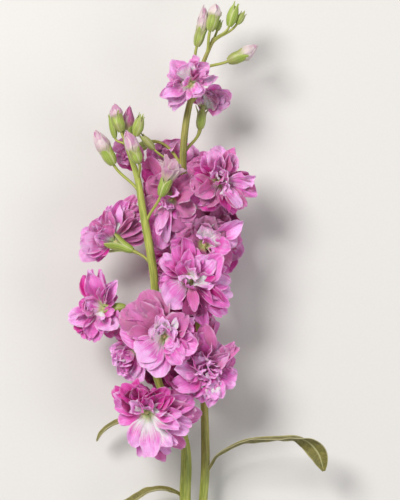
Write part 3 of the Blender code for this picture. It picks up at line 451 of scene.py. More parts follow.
class Shells:
    """Collects closed thin sheets and tubes for one piece, with their UVs and their looks."""

    def __init__(self):
        self.points, self.faces, self.uvs, self.looks, self.count = [], [], [], [], 0

    def add(self, points, faces, uvs, look):
        self.points.append(points)
        self.faces.append(faces + self.count)
        self.uvs.append(uvs)
        self.looks.append(np.broadcast_to(np.asarray(look, dtype=float), (len(points), 4)))
        self.count += len(points)

    def sheet(self, grid, thickness, look, uv=None):
        """A closed blade on both sides of a grid of points, as thick as asked at each point."""
        rows, columns = grid.shape[:2]
        normal = np.cross(np.gradient(grid, axis=1), np.gradient(grid, axis=0))
        normal /= np.linalg.norm(normal, axis=2, keepdims=True) + 1e-9
        offset = normal * np.broadcast_to(thickness, (rows, columns))[..., None] / 2
        points = np.concatenate([(grid + offset).reshape(-1, 3), (grid - offset).reshape(-1, 3)])
        index = np.arange(rows * columns).reshape(rows, columns)
        front = np.stack([index[:-1, :-1], index[:-1, 1:], index[1:, 1:], index[1:, :-1]], axis=-1)
        front = front.reshape(-1, 4)
        back = front[:, ::-1] + rows * columns
        rim = np.concatenate([index[0, :], index[1:, -1], index[-1, -2::-1], index[-2:0:-1, 0]])
        ahead = np.roll(rim, -1)
        side = np.stack([ahead, rim, rim + rows * columns, ahead + rows * columns], axis=-1)
        if uv is None:
            u, v = np.meshgrid(np.linspace(0, 1, columns), np.linspace(0, 1, rows))
            uv = np.stack([u, v], axis=-1)
        self.add(points, np.concatenate([front, back, side]), np.tile(uv.reshape(-1, 2), (2, 1)), look)

    def tube(self, spots, radii, look, sides, lobes=0, depth=0.0, stretch=0.1):
        """A closed stalk along the spots, lobed round its outline if asked, with one look or one a spot."""
        side = square_to(steps_along(spots)[0])
        angles = np.linspace(0, 2 * math.pi, sides, endpoint=False)
        rings = []
        for spot, forward, radius in zip(spots, steps_along(spots), radii):
            side = unit(side - forward * np.dot(side, forward))
            wide = radius * (1 + depth * np.cos(lobes * angles))[:, None]
            rings.append(spot + wide * circle(angles, side, np.cross(forward, side)))
        points = np.concatenate(rings + [spots[:1], spots[-1:]])
        count = len(spots)
        index = np.arange(count * sides).reshape(count, sides)
        after = np.roll(index, -1, axis=1)
        walls = np.stack([index[:-1], after[:-1], after[1:], index[1:]], axis=-1).reshape(-1, 4)
        low = np.stack([np.full(sides, count * sides), after[0], index[0], index[0]], axis=-1)
        high = np.stack([np.full(sides, count * sides + 1), index[-1], after[-1], after[-1]], axis=-1)
        length = stretch * run_along(spots)
        uvs = np.stack([np.tile(np.linspace(0, 1, sides), count), np.repeat(length, sides)], axis=-1)
        uvs = np.concatenate([uvs, [[0.5, length[0]], [0.5, length[-1]]]])
        if np.ndim(look) == 2:
            look = np.concatenate([np.repeat(look, sides, axis=0), look[:1], look[-1:]])
        self.add(points, np.concatenate([walls, low, high]), uvs, look)

    def piece(self, name, material, slot, node):
        """One object from all that was collected, which rides on the plant in place of a node."""
        faces = [face if face[2] != face[3] else face[:3] for face in np.concatenate(self.faces).tolist()]
        mesh = bpy.data.meshes.new(name)
        mesh.from_pydata((np.concatenate(self.points) * MM).tolist(), [], faces)
        corners = np.empty(len(mesh.loops), dtype=np.int32)
        mesh.loops.foreach_get("vertex_index", corners)
        layer = mesh.uv_layers.new(name="UVMap")
        layer.data.foreach_set("uv", np.concatenate(self.uvs)[corners].ravel())
        look = mesh.attributes.new("look", "FLOAT_COLOR", "POINT")
        look.data.foreach_set("color", np.concatenate(self.looks).ravel())
        mesh.shade_smooth()
        mesh.set_sharp_from_angle(angle=math.radians(SHARP_FROM))
        mesh.materials.append(material)
        item = placed(name, mesh)
        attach(item, "root")
        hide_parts(node)


# Routes

def smooth_route(points, step):
    """A smooth curve through the points, all their columns, in rows about a step apart."""
    points = np.asarray(points, dtype=float)
    ends = 2 * points[0] - points[1], 2 * points[-1] - points[-2]
    padded = np.concatenate([ends[:1], points, ends[1:]])
    rows = []
    for before, low, high, after in zip(padded, padded[1:], padded[2:], padded[3:]):
        count = max(2, int(np.linalg.norm(high[:3] - low[:3]) / step))
        for t in np.arange(count) / count:
            rows.append(0.5 * (2 * low + (high - before) * t
                               + (2 * before - 5 * low + 4 * high - after) * t * t
                               + (3 * low - before - 3 * high + after) * t ** 3))
    return np.array(rows + [points[-1]])


def branch_at(route, height):
    """Point, direction and radius of a branch at a height along Y."""
    for low, high in zip(route, route[1:]):
        if low[1] <= height <= high[1]:
            share = (height - low[1]) / (high[1] - low[1])
            start, end = np.array(low[:3]), np.array(high[:3])
            return start + (end - start) * share, unit(end - start), low[3] + (high[3] - low[3]) * share
    raise ValueError("height outside the branch")


def stalk_points(branch, height, end, heading):
    """Points of a stalk that leaves a branch and arrives at a calyx along its heading."""
    start, along, radius = branch_at(BRANCHES[branch], height)
    pull = 0.38 * np.linalg.norm(end - start)
    first, second = start + along * pull, end - heading * pull
    t = np.linspace(0, 1, 14)[:, None]
    return (start * (1 - t) ** 3 + first * 3 * t * (1 - t) ** 2
            + second * 3 * t * t * (1 - t) + end * t ** 3)


# Rooms of the blooms

def walls_of(name):
    """Walls of the room of a bloom: a point, the inward normal, the clearance and the softness."""
    throat, reach = np.array(BLOOMS[name].throat), BLOOMS[name].reach
    walls = [(np.zeros(3), UP, FLOOR_CLEARANCE, FLOOR_SOFTNESS)]
    for other, bloom in BLOOMS.items():
        away = np.array(bloom.throat) - throat
        apart = np.linalg.norm(away)
        if other == name or apart > reach + bloom.reach + NEAR:
            continue
        share = (apart ** 2 + reach ** 2 - bloom.reach ** 2) / (2 * apart)
        walls.append((throat + away / apart * share, -away / apart, -OVERLAP, WALL_SOFTNESS))
    for route in BRANCHES.values():
        low, high = math.ceil(route[0][1]), math.floor(route[-1][1])
        spots = [branch_at(route, height) for height in range(low, high, 2)]
        nearest, along, radius = min(spots, key=lambda spot: np.linalg.norm(spot[0] - throat))
        if np.linalg.norm(nearest - throat) < reach + NEAR:
            walls.append((nearest, unit(throat - nearest), radius + STALK_CLEARANCE, WALL_SOFTNESS))
    return walls


def bend_clear(points, walls, extra):
    """Move points back into the room, gently near a wall and fully beyond it."""
    for turn in range(4):
        for spot, normal, clearance, soft in walls:
            inside = (points - spot) @ normal - clearance - extra
            if turn == 0:
                held = soft * np.exp(np.minimum(inside, soft) / soft - 1)
                push = np.where(inside < soft, held - inside, 0.0)
            else:
                push = np.maximum(-inside, 0.0)
            points = points + push[..., None] * normal
    return points


def room_along(throat, heading, walls):
    """Distance from the throat to the first wall met along a heading."""
    room = 1000.0
    for spot, normal, clearance, soft in walls:
        closing = -np.dot(heading, normal)
        if closing > 0:
            room = min(room, (np.dot(throat - spot, normal) - clearance) / closing)
    return room


# Petals

class Flower(Shells):
    """The shells of a flower, with petals that spring from its throat and keep to its room."""

    def __init__(self, throat, facing, rng, walls):
        super().__init__()
        self.throat, self.facing, self.rng, self.walls = throat, facing, rng, walls

    def petal(self, heading, front, size, form, look, bends, shift=0.0):
        """A narrow claw that widens to a blade, crumpled, pleated and with a ragged, thinning edge."""
        length, width, roll = size
        cup, curl, fold, ruff, point, foot = form
        draw = self.rng.uniform
        length = min(length, room_along(self.throat, heading, self.walls) + PETAL_SLACK)
        side = turned(unit(np.cross(heading, front)), heading, roll)
        face = np.cross(side, heading)
        root = self.throat + (heading - self.facing * np.dot(heading, self.facing)) * ROOT_SPREAD + shift
        # The outline, from an oval mapped to the rows and columns of the grid
        across, row = np.meshgrid(np.linspace(-1, 1, PETAL_COLUMNS), np.linspace(0, 1, PETAL_ROWS))
        claw = np.clip(row / CLAW_ROWS, 0, 1)
        head = np.clip((row - CLAW_ROWS) / (1 - CLAW_ROWS), 0, 1)
        wild = min(1.0, ruff)
        point = max(0.0, point + draw(*POINTING) * wild)
        widen = foot + (1 - foot) * ease(0.0, 1.0, claw) ** 0.9
        x = across * widen * np.sqrt(1 - ROUNDNESS * head ** 2 / 2) * (1 - 0.8 * point * head ** 2)
        x = x * (1 + draw(*SKEW) * across)
        up = head * np.sqrt(1 - ROUNDNESS * across ** 2 / 2)
        notch = (bends[2] + draw(*NOTCH)) * wild
        up = up - notch * 2.2 * np.exp(-((across - draw(*NOTCH_PLACE)) / NOTCH_WIDTH) ** 2) * head ** 4
        t = HEAD_START * claw + (1 - HEAD_START) * up
        # Waves along the edge and creases over the blade
        rim = np.maximum(np.abs(across), head)
        turn = np.arctan2(x, up - (1 - claw) * 1.2)
        edge = rim ** 3 * ease(0.10, 0.55, t)
        phases = draw(0, 2 * math.pi, 10)
        ripple = waves(draw, RIPPLES, turn, phases[:2])
        teeth = waves(draw, TEETH, turn, phases[2::5]) * rim ** 5 * (0.4 + 0.6 * wild)
        crumple = (np.sin(3.1 * x + 6.0 * t + phases[3]) * np.sin(6.9 * t - 1.7 * x + phases[4])
                   + 0.6 * np.sin(5.9 * x + 2.4 * t + phases[5]) * np.sin(8.0 * t - 2.0 * x + phases[6]))
        # The level blade, arched away from the throat
        spot = root + heading * (length * (t + teeth * t) - ROOT_SPREAD * t)[..., None]
        spot = spot + self.facing * (length * (1 - t) * (ARCH * t - SINK))[..., None]
        sway = draw(*SWAY) * t * t
        spot = spot + side * ((x * (1 + teeth * 1.5) / 2 + sway) * width)[..., None]
        # How far each point rises from it
        blade = ease(0.15, 0.7, t)
        rise = length * (bends[0] * 0.6 + curl) * t * t + width * (bends[1] * 0.6 + cup) * x * x * t
        fold = fold + draw(*FOLDING) * wild
        rise += width * fold * (np.sqrt((x - draw(*FOLD_PLACE)) ** 2 + 0.02) - 0.14) * ease(0.0, 0.6, t)
        rise += width * x * draw(*TILT) * t + length * draw(*TIP_CURL) * ease(0.55, 1.0, t)
        for way in (-1, 1):
            rise += width * wild * draw(*SIDE_CURL) * ease(0.35, 1.1, way * x) * blade
        pleats = np.sin(draw(*PLEATS) * across + phases[8]) * (0.4 + 0.6 * np.sin(4 * t + phases[9]) ** 2)
        rise += width * (ripple * edge * ruff + (0.024 + 0.034 * ruff) * crumple * blade)
        rise += width * (0.010 + 0.012 * wild) * pleats * ease(0.12, 0.6, t)
        rise += width * draw(*RIM_CURL) * rim ** 6 * ease(0.3, 0.8, t)
        spot = bend_clear(spot + face * rise[..., None], self.walls, draw(*WALL_GAP))
        over = np.maximum(spot[..., 2] - FRONT, 0.0)
        spot[..., 2] -= over - SQUEEZE * (1 - np.exp(-over / SQUEEZE))
        thickness = PETAL_THICKNESS + (RIM_THICKNESS - PETAL_THICKNESS) * rim ** 4
        self.sheet(spot, thickness, look, np.stack([across / 2 + 0.5, row], axis=-1))


def drawn_bends(rng, length, width):
    """The curl, cup and notch that the CAD rule draws for a petal."""
    rows = 3 if length <= 14 else 4
    columns = 2 if width <= 7 else 3
    bends = rng.uniform(*CURL), rng.uniform(*CUP), rng.choice(NOTCHES)
    for _ in range(rows * columns):
        rng.uniform(-WAVE, WAVE)
    return bends


def petal_look(tone, rng, painted_shade=0.0):
    depth, white, mauve = TONES[tone]
    # The extra depth is painted shade for petals that lie in shadow
    depth = min(1.0, depth + painted_shade + rng.uniform(-0.08, 0.08))
    return depth, white * rng.uniform(0.85, 1.1), mauve * rng.uniform(0.8, 1.2), rng.uniform(0, 1)


def spread_heading(facing, turn, tilt):
    """A heading tilted away from the way the bloom faces, at a turn round it."""
    spoke = turned(square_to(facing), facing, turn)
    return facing * math.cos(math.radians(tilt)) + spoke * math.sin(math.radians(tilt))


def one_of(tones, rng):
    return tones[int(rng.integers(0, len(tones)))]


def ring_petals(flower, name, start, open_side):
    """The petals in a ring at the back of a bloom, deeper in tone as painted shade, left out on its open
    side.
    """
    bloom, draw = BLOOMS[name], flower.rng.uniform
    tones = RING_TONES.get(name, "mauve pink deep").split()
    for number in range(bloom.ring):
        turn = start + 360 * number / bloom.ring + draw(-16, 16)
        heading = spread_heading(flower.facing, turn, 90 - 7 * (number % 2))
        size = bloom.reach * draw(*RING_LENGTH), bloom.reach * draw(*RING_WIDTH), draw(*RING_ROLL)
        # 0.12 deeper: painted shade on petals that lie behind and below the rest
        look = petal_look(one_of(tones, flower.rng), flower.rng, 0.12)
        if np.dot(heading, open_side) < 0.4:
            form = FORMS[RING_FORMS[number % len(RING_FORMS)]]
            flower.petal(heading, flower.facing, size, form, look, (draw(-0.1, 0.05), 0.05, 0.03))


def small_petals(flower, name, start, open_side):
    """The small, curled petals round the throat of a bloom, which turn away from its open side."""
    bloom, draw = BLOOMS[name], flower.rng.uniform
    tones = SMALL_TONES.get(name, "pale pink pink deep").split()
    for number in range(bloom.small):
        turn = start + GOLDEN_ANGLE * number + draw(-25, 25)
        tilt = draw(12, 30) + 45 * (number + 0.5) / bloom.small
        heading = spread_heading(flower.facing, turn, tilt)
        if np.dot(heading, open_side) > -0.15:
            heading = spread_heading(flower.facing, turn + 180, tilt)
        size = bloom.reach * draw(*SMALL_LENGTH), bloom.reach * draw(*SMALL_WIDTH), draw(*SMALL_ROLL)
        form = (draw(-0.3, 0.35), draw(-0.25, 0.3), draw(-0.2, 0.55), draw(1.2, 2.2), draw(0, 0.3), 0.25)
        shift = spread_heading(flower.facing, draw(0, 360), 90) * draw(0, 0.12) - open_side * 0.20
        look = petal_look(one_of(tones, flower.rng), flower.rng)
        flower.petal(heading, flower.facing, size, form, look, SMALL_BENDS, shift * bloom.reach)


def build_bloom(name, material):
    bloom = BLOOMS[name]
    throat, facing = np.array(bloom.throat), direction(*bloom.facing)
    drawn = random.Random("bloom " + name)
    rng = seeded(name, BLOOM_SEED)
    flower = Flower(throat, facing, rng, walls_of(name))
    for way, size, tone, form in petal_rows(bloom.main):
        heading = direction(*way)
        kept = min(size[0], room_along(throat, heading, flower.walls) + CAD_SLACK)
        flower.petal(heading, UP, size, form, petal_look(tone, rng), drawn_bends(drawn, kept, size[1]))
    for way, size, tone, form in petal_rows(bloom.more):
        flower.petal(direction(*way), UP, size, form, petal_look(tone, rng), FLAT_BENDS)
    start = rng.uniform(0, 360)
    open_side = direction(OPEN_SIDES[name], 0) if name in OPEN_SIDES else np.zeros(3)
    ring_petals(flower, name, start, open_side)
    small_petals(flower, name, start, open_side)
    # The core in the throat, which lies deeper where the bloom is seen from behind
    deep = DEEP_CORE if name == "left_far" else 0.0
    axis = throat + facing * np.linspace(CORE_BACK - deep, CORE_FRONT - deep, 9)[:, None]
    radii = CORE_WIDTH * np.sqrt(np.clip(1 - np.linspace(-0.98, 0.98, 9) ** 2, 0, 1)) + 0.05
    flower.tube(axis, radii, (0.1, 0.0, 0.0, 0.5), sides=14, lobes=4, depth=0.12, stretch=0.0)
    flower.piece("petals_" + name, material, "petal_pink", "bloom_" + name)


# Stalks, calyxes and buds

def sepals(shells, base, end, profile, look, flare, reach, rng):
    """Four sepals round a calyx, with pointed tips that stand open by the flare."""
    heading = unit(end - base)
    first = square_to(heading)
    second = np.cross(heading, first)
    start = rng.uniform(0, 90)
    for number in range(4):
        across, t = np.meshgrid(np.linspace(-1, 1, 7), np.linspace(0, 1, 12))
        span = half_span(SEPAL_SPAN, t, 1.02, 0.006)
        radius = profile_at(profile, np.clip(t * reach, 0, 1)) * 1.04
        opened = flare * rng.uniform(0.7, 1.3) * ease(0.2 if flare > 2 else 0.6, 1.05, t)
        angle = np.radians(start + 90 * number) + across * span * (radius + 0.3 * opened) / (radius + opened)
        radius = radius + opened + SEPAL_BULGE * (1 - across * across) + SEPAL_STEP * (number % 2)
        tip = reach * (1 + rng.uniform(-0.06, 0.10))
        out = circle(angle, first, second) * radius[..., None]
        shells.sheet(base + (end - base) * (t * tip)[..., None] + out, SEPAL_THICKNESS, look)


def calyx_body(shells, base, end, profile, look, inset, depth):
    """The lobed body inside the sepals, set in from the profile by a share."""
    t = np.linspace(0, 1, 12)
    spots = base + (end - base) * t[:, None]
    shells.tube(spots, profile_at(profile, t) * inset, look, CALYX_SIDES, lobes=4, depth=depth)


def thin_stalk(shells, points, radius, foot, mouth, look):
    """A stalk with its radius, and what is added to it at its branch and at its calyx."""
    share = np.linspace(0, 1, len(points))
    radii = radius + foot * np.exp(-9 * share) + mouth * ease(0.75, 1.0, share)
    shells.tube(points, radii, look, STALK_SIDES)


def bloom_stalk(shells, name, rng):
    bloom = BLOOMS[name]
    throat, heading = np.array(bloom.throat), direction(*bloom.facing)
    mouth = throat - heading * (CORE_RADIUS + GAP)
    base = mouth - heading * CALYX_LENGTH
    look = (rng.uniform(0.2, 0.5), 0.0, 0.0, rng.uniform(0, 1))
    thin_stalk(shells, stalk_points(bloom.branch, bloom.height, base, heading), BLOOM_STALK, 0.35, 0.3, look)
    flush = rng.uniform(0, 0.5), rng.uniform(0, 1)
    calyx_body(shells, base, mouth, CALYX, (0.2, 0.9, *flush), 0.96, 0.05)
    flare, reach = SEPALS.get(name, USUAL_SEPALS)
    sepals(shells, base, mouth, CALYX, (0.2, 1.0, *flush), flare, reach, rng)


def bud_stalk(shells, name, rng):
    bud = BUDS[name]
    base, end = np.array(bud.base), np.array(bud.end)
    points = stalk_points(bud.branch, bud.height, base, unit(end - base))
    look = (rng.uniform(0.0, 0.3), 0.0, 0.0, rng.uniform(0, 1))
    thin_stalk(shells, points, BUD_STALK if bud.tip else GREEN_STALK, 0.3, 0.0, look)
    shape = OPENING_CALYX if name == "bud_opening" else BUD_CALYX if bud.tip else GREEN_CALYX
    profile = [(share, width * bud.radius) for share, width in shape]
    calyx = (0.2, 1.0, rng.uniform(0.0, 0.4), rng.uniform(0, 1))
    calyx_body(shells, base, end, profile, calyx, 0.95, 0.06)
    flare, reach = (0.64, 1.22) if bud.tip else (0.7, 1.14)
    sepals(shells, base, end, profile, calyx, flare, reach, rng)


def build_stem(material):
    rng = np.random.default_rng(STEM_SEED)
    shells = Shells()
    for branch, route in BRANCHES.items():
        rows = smooth_route(route, 2.5)
        blank = np.zeros(len(rows))
        look = np.stack([profile_at(OLIVES[branch], rows[:, 1]), blank, blank, blank + 0.4], axis=1)
        shells.tube(rows[:, :3], rows[:, 3], look, STEM_SIDES)
    rows = smooth_route(FOOT, 2.0)
    shells.tube(rows[:, :3], rows[:, 3], (0.15, 0.0, 0.0, 0.4), STEM_SIDES)
    for name in BLOOMS:
        bloom_stalk(shells, name, rng)
    for name in BUDS:
        bud_stalk(shells, name, rng)
    shells.piece("stalks", material, "stem_green", "stem")


def build_bud(name, material):
    """The petals at the end of a bud, over a core: wrapped and creased, or standing apart."""
    bud, opening = BUDS[name], name == "bud_opening"
    base, end, tip = np.array(bud.base), np.array(bud.end), np.array(bud.tip)
    rng = seeded(name, BUD_SEED)
    heading = unit(end - base)
    start = end - heading * 1.2
    middle = start + heading * np.linalg.norm(tip - start) / 2
    look = petal_look(bud.tone, rng)
    flower = Flower(start, heading, rng, [])

    def axis(t):
        t = t[..., None]
        return start * (1 - t) ** 2 + middle * 2 * t * (1 - t) + tip * t * t

    profile, span, share = (OPENING_TIP, 0.5, 0.45) if opening else (BUD_TIP, 0.90, 0.70)
    along = np.linspace(0, span, 14)
    radii = profile_at(profile, along) * bud.radius * share
    flower.tube(axis(along), radii, (look[0] + 0.5, 0.0, look[2], look[3]), 14)
    if opening:
        for way, size, tone, form in petal_rows(OPENING_PETALS):
            petal_heading = spread_heading(heading, *way)
            flower.petal(petal_heading, heading, size, form, petal_look(tone, rng), OPENING_BENDS)
    else:
        wrapped_petals(flower, axis, profile, bud.radius, look)
    flower.piece("tip_" + name, material, "bud_pale_pink", name)


def wrapped_petals(shells, axis, profile, radius, look):
    """Creased petals wrapped round the axis of a bud, each laid over the one before."""
    draw = shells.rng.uniform
    first = square_to(shells.facing)
    second = np.cross(shells.facing, first)
    for number in range(WRAPPED):
        across, t = np.meshgrid(np.linspace(-1, 1, 15), np.linspace(0, 1, 18))
        turn = np.radians(GOLDEN_ANGLE * number + draw(-12, 12))
        angle = turn + across * half_span(WRAP_SPAN, t, 1.06, 0.02) + t * draw(0.2, 1.1)
        crease = np.sin(draw(4, 7) * across + 5 * t + draw(0, 6)) * ease(0.1, 0.6, t)
        distance = profile_at(profile, t) * radius * (0.84 + 0.036 * number + 0.09 * across) + 0.20 * crease
        distance += 0.05 * number * ease(0.6, 1.0, t) - 0.12 * np.exp(-(across / 0.2) ** 2)
        height = t * (1.0 - draw(0, 0.20)) + 0.04 * t * np.sin(3 * across + number)
        out = circle(angle, first, second) * distance[..., None]
        own = (min(1.0, max(0.0, look[0] + draw(-0.15, 0.30))), look[1], look[2], draw(0, 1))
        thickness = WRAP_THICKNESS + (WRAP_EDGE - WRAP_THICKNESS) * np.maximum(np.abs(across), t) ** 4
        shells.sheet(axis(height) + out, thickness, own)


def build_leaf(name, material):
    """A narrow leaf with a sunken midrib and a waved, thinning edge, along its turning route."""
    rng = seeded(name, LEAF_SEED)
    rows = smooth_route(LEAVES[name], 1.2)
    spots, widths, tilts = rows[:, :3], np.maximum(rows[:, 3], 0.5), rows[:, 4]
    across = np.linspace(-1, 1, 15)
    share = np.linspace(0, 1, len(spots))
    phase = rng.uniform(0, 6, 4)
    grid = np.empty((len(spots), len(across), 3))
    for number, (spot, forward, width, tilt) in enumerate(zip(spots, steps_along(spots), widths, tilts)):
        side = turned(unit(np.cross(forward, UP)), forward, tilt)
        face = np.cross(side, forward)
        rippled = (np.sin(26 * share[number] + phase[0] + 1.4 * across)
                   + 0.5 * np.sin(57 * share[number] + phase[1] - across))
        lift = width * (0.14 * np.abs(across) ** 1.2 - 0.05 * np.exp(-(across / 0.12) ** 2)
                        + 0.035 * np.abs(across) ** 3 * rippled)
        grid[number] = spot + np.outer(across * width / 2, side) + np.outer(lift, face)
    thick = 0.30 + 0.55 * np.exp(-(across / 0.16) ** 2)
    u, v = np.meshgrid((across + 1) / 2, run_along(spots) / 10.0)
    shells = Shells()
    shells.sheet(grid, thick, (0.5, 0.0, 0.0, rng.uniform(0, 1)), np.stack([u, v], axis=-1))
    shells.piece("blade_" + name, material, "leaf_olive", name)


# Materials

SHADER_INPUTS = ("Base Color", "Roughness", "Subsurface Weight", "Subsurface Radius", "Subsurface Scale",
                 "Sheen Weight", "Sheen Roughness", "Specular IOR Level")


class Wire:
    """An output of a node, on which sums, products and the like make further nodes."""

    def __init__(self, graph, socket):
        self.graph, self.socket = graph, socket

    def __add__(self, other):
        return self.graph.math("ADD", self, other)

    def __sub__(self, other):
        return self.graph.math("SUBTRACT", self, other)

    def __mul__(self, other):
        return self.graph.math("MULTIPLY", self, other)

    def __truediv__(self, other):
        return self.graph.math("DIVIDE", self, other)

    def __abs__(self):
        return self.graph.math("ABSOLUTE", self, 0.0)


class Graph:
    """Short names for building a material from nodes."""

    def __init__(self, name):
        self.material = bpy.data.materials.new(name)
        self.material.use_nodes = True
        self.nodes = self.material.node_tree.nodes
        self.links = self.material.node_tree.links
        self.shader = self.nodes["Principled BSDF"]

    def put(self, socket, value):
        if isinstance(value, Wire):
            self.links.new(value.socket, socket)
        elif socket.type == "RGBA":
            socket.default_value = (*value, 1.0)
        else:
            socket.default_value = value

    def node(self, kind, inputs, output=0, **settings):
        """A node with its settings and inputs, by name or by number, and one of its outputs."""
        node = self.nodes.new("ShaderNode" + kind)
        for label, value in settings.items():
            setattr(node, label, value)
        for label, value in inputs.items():
            self.put(node.inputs[label], value)
        return Wire(self, node.outputs[output])

    def math(self, operation, first, second, clamp=False):
        return self.node("Math", {0: first, 1: second}, operation=operation, use_clamp=clamp)

    def mix(self, factor, first, second, blend="MIX"):
        return self.node("Mix", {0: factor, 6: first, 7: second}, 2, data_type="RGBA", blend_type=blend)

    def step(self, value, low, high, bottom=0.0, top=1.0):
        """Eases from bottom to top as the value goes from low to high."""
        limits = {"Value": value, "From Min": low, "From Max": high, "To Min": bottom, "To Max": top}
        return self.node("MapRange", limits, interpolation_type="SMOOTHSTEP")

    def layers(self, body, *coats):
        """The body colour under further colours, each with its share."""
        for share, colour in coats:
            body = self.mix(share, body, colour)
        return body

    def noise(self, vector, detail, roughness, scale=1.0):
        inputs = {"Vector": vector, "Detail": detail, "Roughness": roughness, "Scale": scale}
        return self.node("TexNoise", inputs, "Fac")

    def fibres(self, across, along, detail=4.0, roughness=0.6, spread=47.0):
        """Noise stretched along a blade or a stalk, different on each."""
        spot = self.node("CombineXYZ", {0: self.u * across, 1: self.v * along, 2: self.own * spread})
        return self.noise(spot, detail, roughness)

    def grain(self, scale, detail=3.0, roughness=0.6):
        """Noise by the place on the object, in units of a millimetre times the scale."""
        spot = self.node("TexCoord", {}, "Object")
        place = self.node("VectorMath", {0: spot, "Scale": scale / MM}, operation="SCALE")
        return self.noise(place, detail, roughness)

    def parts(self, kind, wire, count):
        """The outputs of a node that takes a vector or a colour apart."""
        split = self.node(kind, {0: wire}).socket.node
        return [Wire(self, output) for output in list(split.outputs)[:count]]

    def read(self):
        """Keeps the place on the blade, with its way from the middle, and gives its look."""
        self.u, self.v = self.parts("SeparateXYZ", self.node("UVMap", {}, uv_map="UVMap"), 2)
        self.from_middle = abs(self.u - 0.5) * 2.0
        colour = self.node("Attribute", {}, "Color", attribute_name="look")
        self.own = Wire(self, colour.socket.node.outputs["Alpha"])
        return self.parts("SeparateColor", colour, 3)

    def bump(self, height, strength, distance):
        inputs = {"Height": height, "Strength": strength, "Distance": distance * MM}
        self.put(self.shader.inputs["Normal"], self.node("Bump", inputs))

    def finish(self, colour, roughness, *more):
        """Sets the shader, with its further inputs in the order of SHADER_INPUTS."""
        for label, value in zip(SHADER_INPUTS, (colour, roughness, *more)):
            self.put(self.shader.inputs[label], value)
        return self.material


PALE_PINK, MID_PINK, DEEP_PINK = (0.88, 0.41, 0.78), (0.72, 0.13, 0.48), (0.55, 0.012, 0.25)
MAUVE, PEARL = (0.50, 0.18, 0.32), (0.90, 0.70, 0.88)
CLAW_WHITE, RIM_WHITE = (0.80, 0.73, 0.76), (0.86, 0.62, 0.80)
THROAT_GREEN, PAINTED_SHADE_TINT = (0.50, 0.55, 0.16), (0.32, 0.26, 0.32)


def petal_material():
    """Petal: pale to deep pink along fine fanned veins, deeper towards its foot, a white claw, green at its
    foot, a pale rim, and painted shade on the tones that ask for it.
    """
    g = Graph("petal_skin")
    tone, white, mauve = g.read()
    veins = g.fibres(26.0, 1.6)
    broad = g.fibres(3.2, 2.6, 3.0, 0.5)
    grain = g.grain(2.6)
    # Deeper towards the claw: partly the petal's own deeper veins there, partly painted shade where petals
    # overlap
    depth = tone + (veins - 0.5) * 0.75 + (broad - 0.5) * 0.80 + g.step(g.v, 0.72, 0.20, -0.06, 0.36)
    rim = g.math("MAXIMUM", g.from_middle, (g.v - CLAW_ROWS) / (1 - CLAW_ROWS)) + (broad - 0.5) * 0.16
    ragged = g.v + (veins - 0.5) * 0.80
    body = g.layers(
        PALE_PINK, (g.step(depth, 0.0, 0.5), MID_PINK), (g.step(depth, 0.45, 1.05), DEEP_PINK),
        (mauve * g.step(broad, 0.2, 0.8, 0.45, 1.0), MAUVE),
        (g.step(rim, 0.82, 1.0) * g.step(broad, 0.35, 0.75, 0.05, 0.50), RIM_WHITE),
        (g.step(white - ragged, -0.26, 0.22), CLAW_WHITE))
    # Painted shade: the tint multiplies petals darker where their claw share is negative
    body = g.mix(g.step(white, -0.1, -1.0), body, PAINTED_SHADE_TINT, "MULTIPLY")
    body = g.layers(
        body, (g.step(g.v, 0.20, 0.04, 0.0, 0.85), THROAT_GREEN), (g.step(grain, 0.3, 0.8, 0.0, 0.06), PEARL))
    g.bump(veins + grain * 0.35 + g.grain(0.75, 4.0, 0.65) * 1.3, 0.7, 0.34)
    rough = g.step(grain, 0.2, 0.8, 0.48, 0.66)
    return g.finish(body, rough, 0.45, (1.0, 0.35, 0.6), 0.002, 0.05, 0.45, 0.2)


BUD_WHITE, BUD_PINK, BUD_DEEP = (0.64, 0.53, 0.53), (0.52, 0.25, 0.40), (0.40, 0.04, 0.22)
BUD_MAUVE, BUD_RIM, BUD_GREEN = (0.38, 0.22, 0.28), (0.74, 0.62, 0.64), (0.42, 0.45, 0.17)


def bud_material():
    """Bud petal: blush white, streaked mauve pink along its length and green at its foot."""
    g = Graph("bud_skin")
    tone, white, mauve = g.read()
    veins = g.fibres(9.0, 1.2)
    broad = g.fibres(2.2, 2.2, 3.0, 0.5)
    grain = g.grain(3.0)
    depth = tone + (veins - 0.5) * 0.9 + (broad - 0.5) * 0.6
    body = g.layers(
        BUD_WHITE, (g.step(depth, -0.05, 0.45), BUD_PINK), (g.step(depth, 0.45, 1.0), BUD_DEEP),
        (mauve * g.step(broad, 0.2, 0.8, 0.3, 1.0), BUD_MAUVE),
        (g.step(g.from_middle, 0.74, 1.0, 0.0, 0.55), BUD_RIM),
        (g.step(g.v + veins * 0.25, 0.62, 0.16, 0.0, 0.80), BUD_GREEN))
    g.bump(veins + grain * 0.4, 0.6, 0.25)
    rough = g.step(grain, 0.2, 0.8, 0.50, 0.66)
    return g.finish(body, rough, 0.15, (1.0, 0.6, 0.7), 0.001, 0.25, 0.45)


FRESH_DARK, FRESH_LIGHT, FRESH_GRAIN = (0.19, 0.235, 0.03), (0.47, 0.50, 0.10), (0.50, 0.54, 0.20)
OLIVE_DARK, OLIVE_LIGHT = (0.15, 0.125, 0.022), (0.34, 0.275, 0.06)
SEPAL_DARK, SEPAL_LIGHT, SEPAL_EDGE = (0.19, 0.28, 0.03), (0.44, 0.54, 0.11), (0.52, 0.52, 0.28)
SEPAL_BROWN = (0.26, 0.15, 0.13)


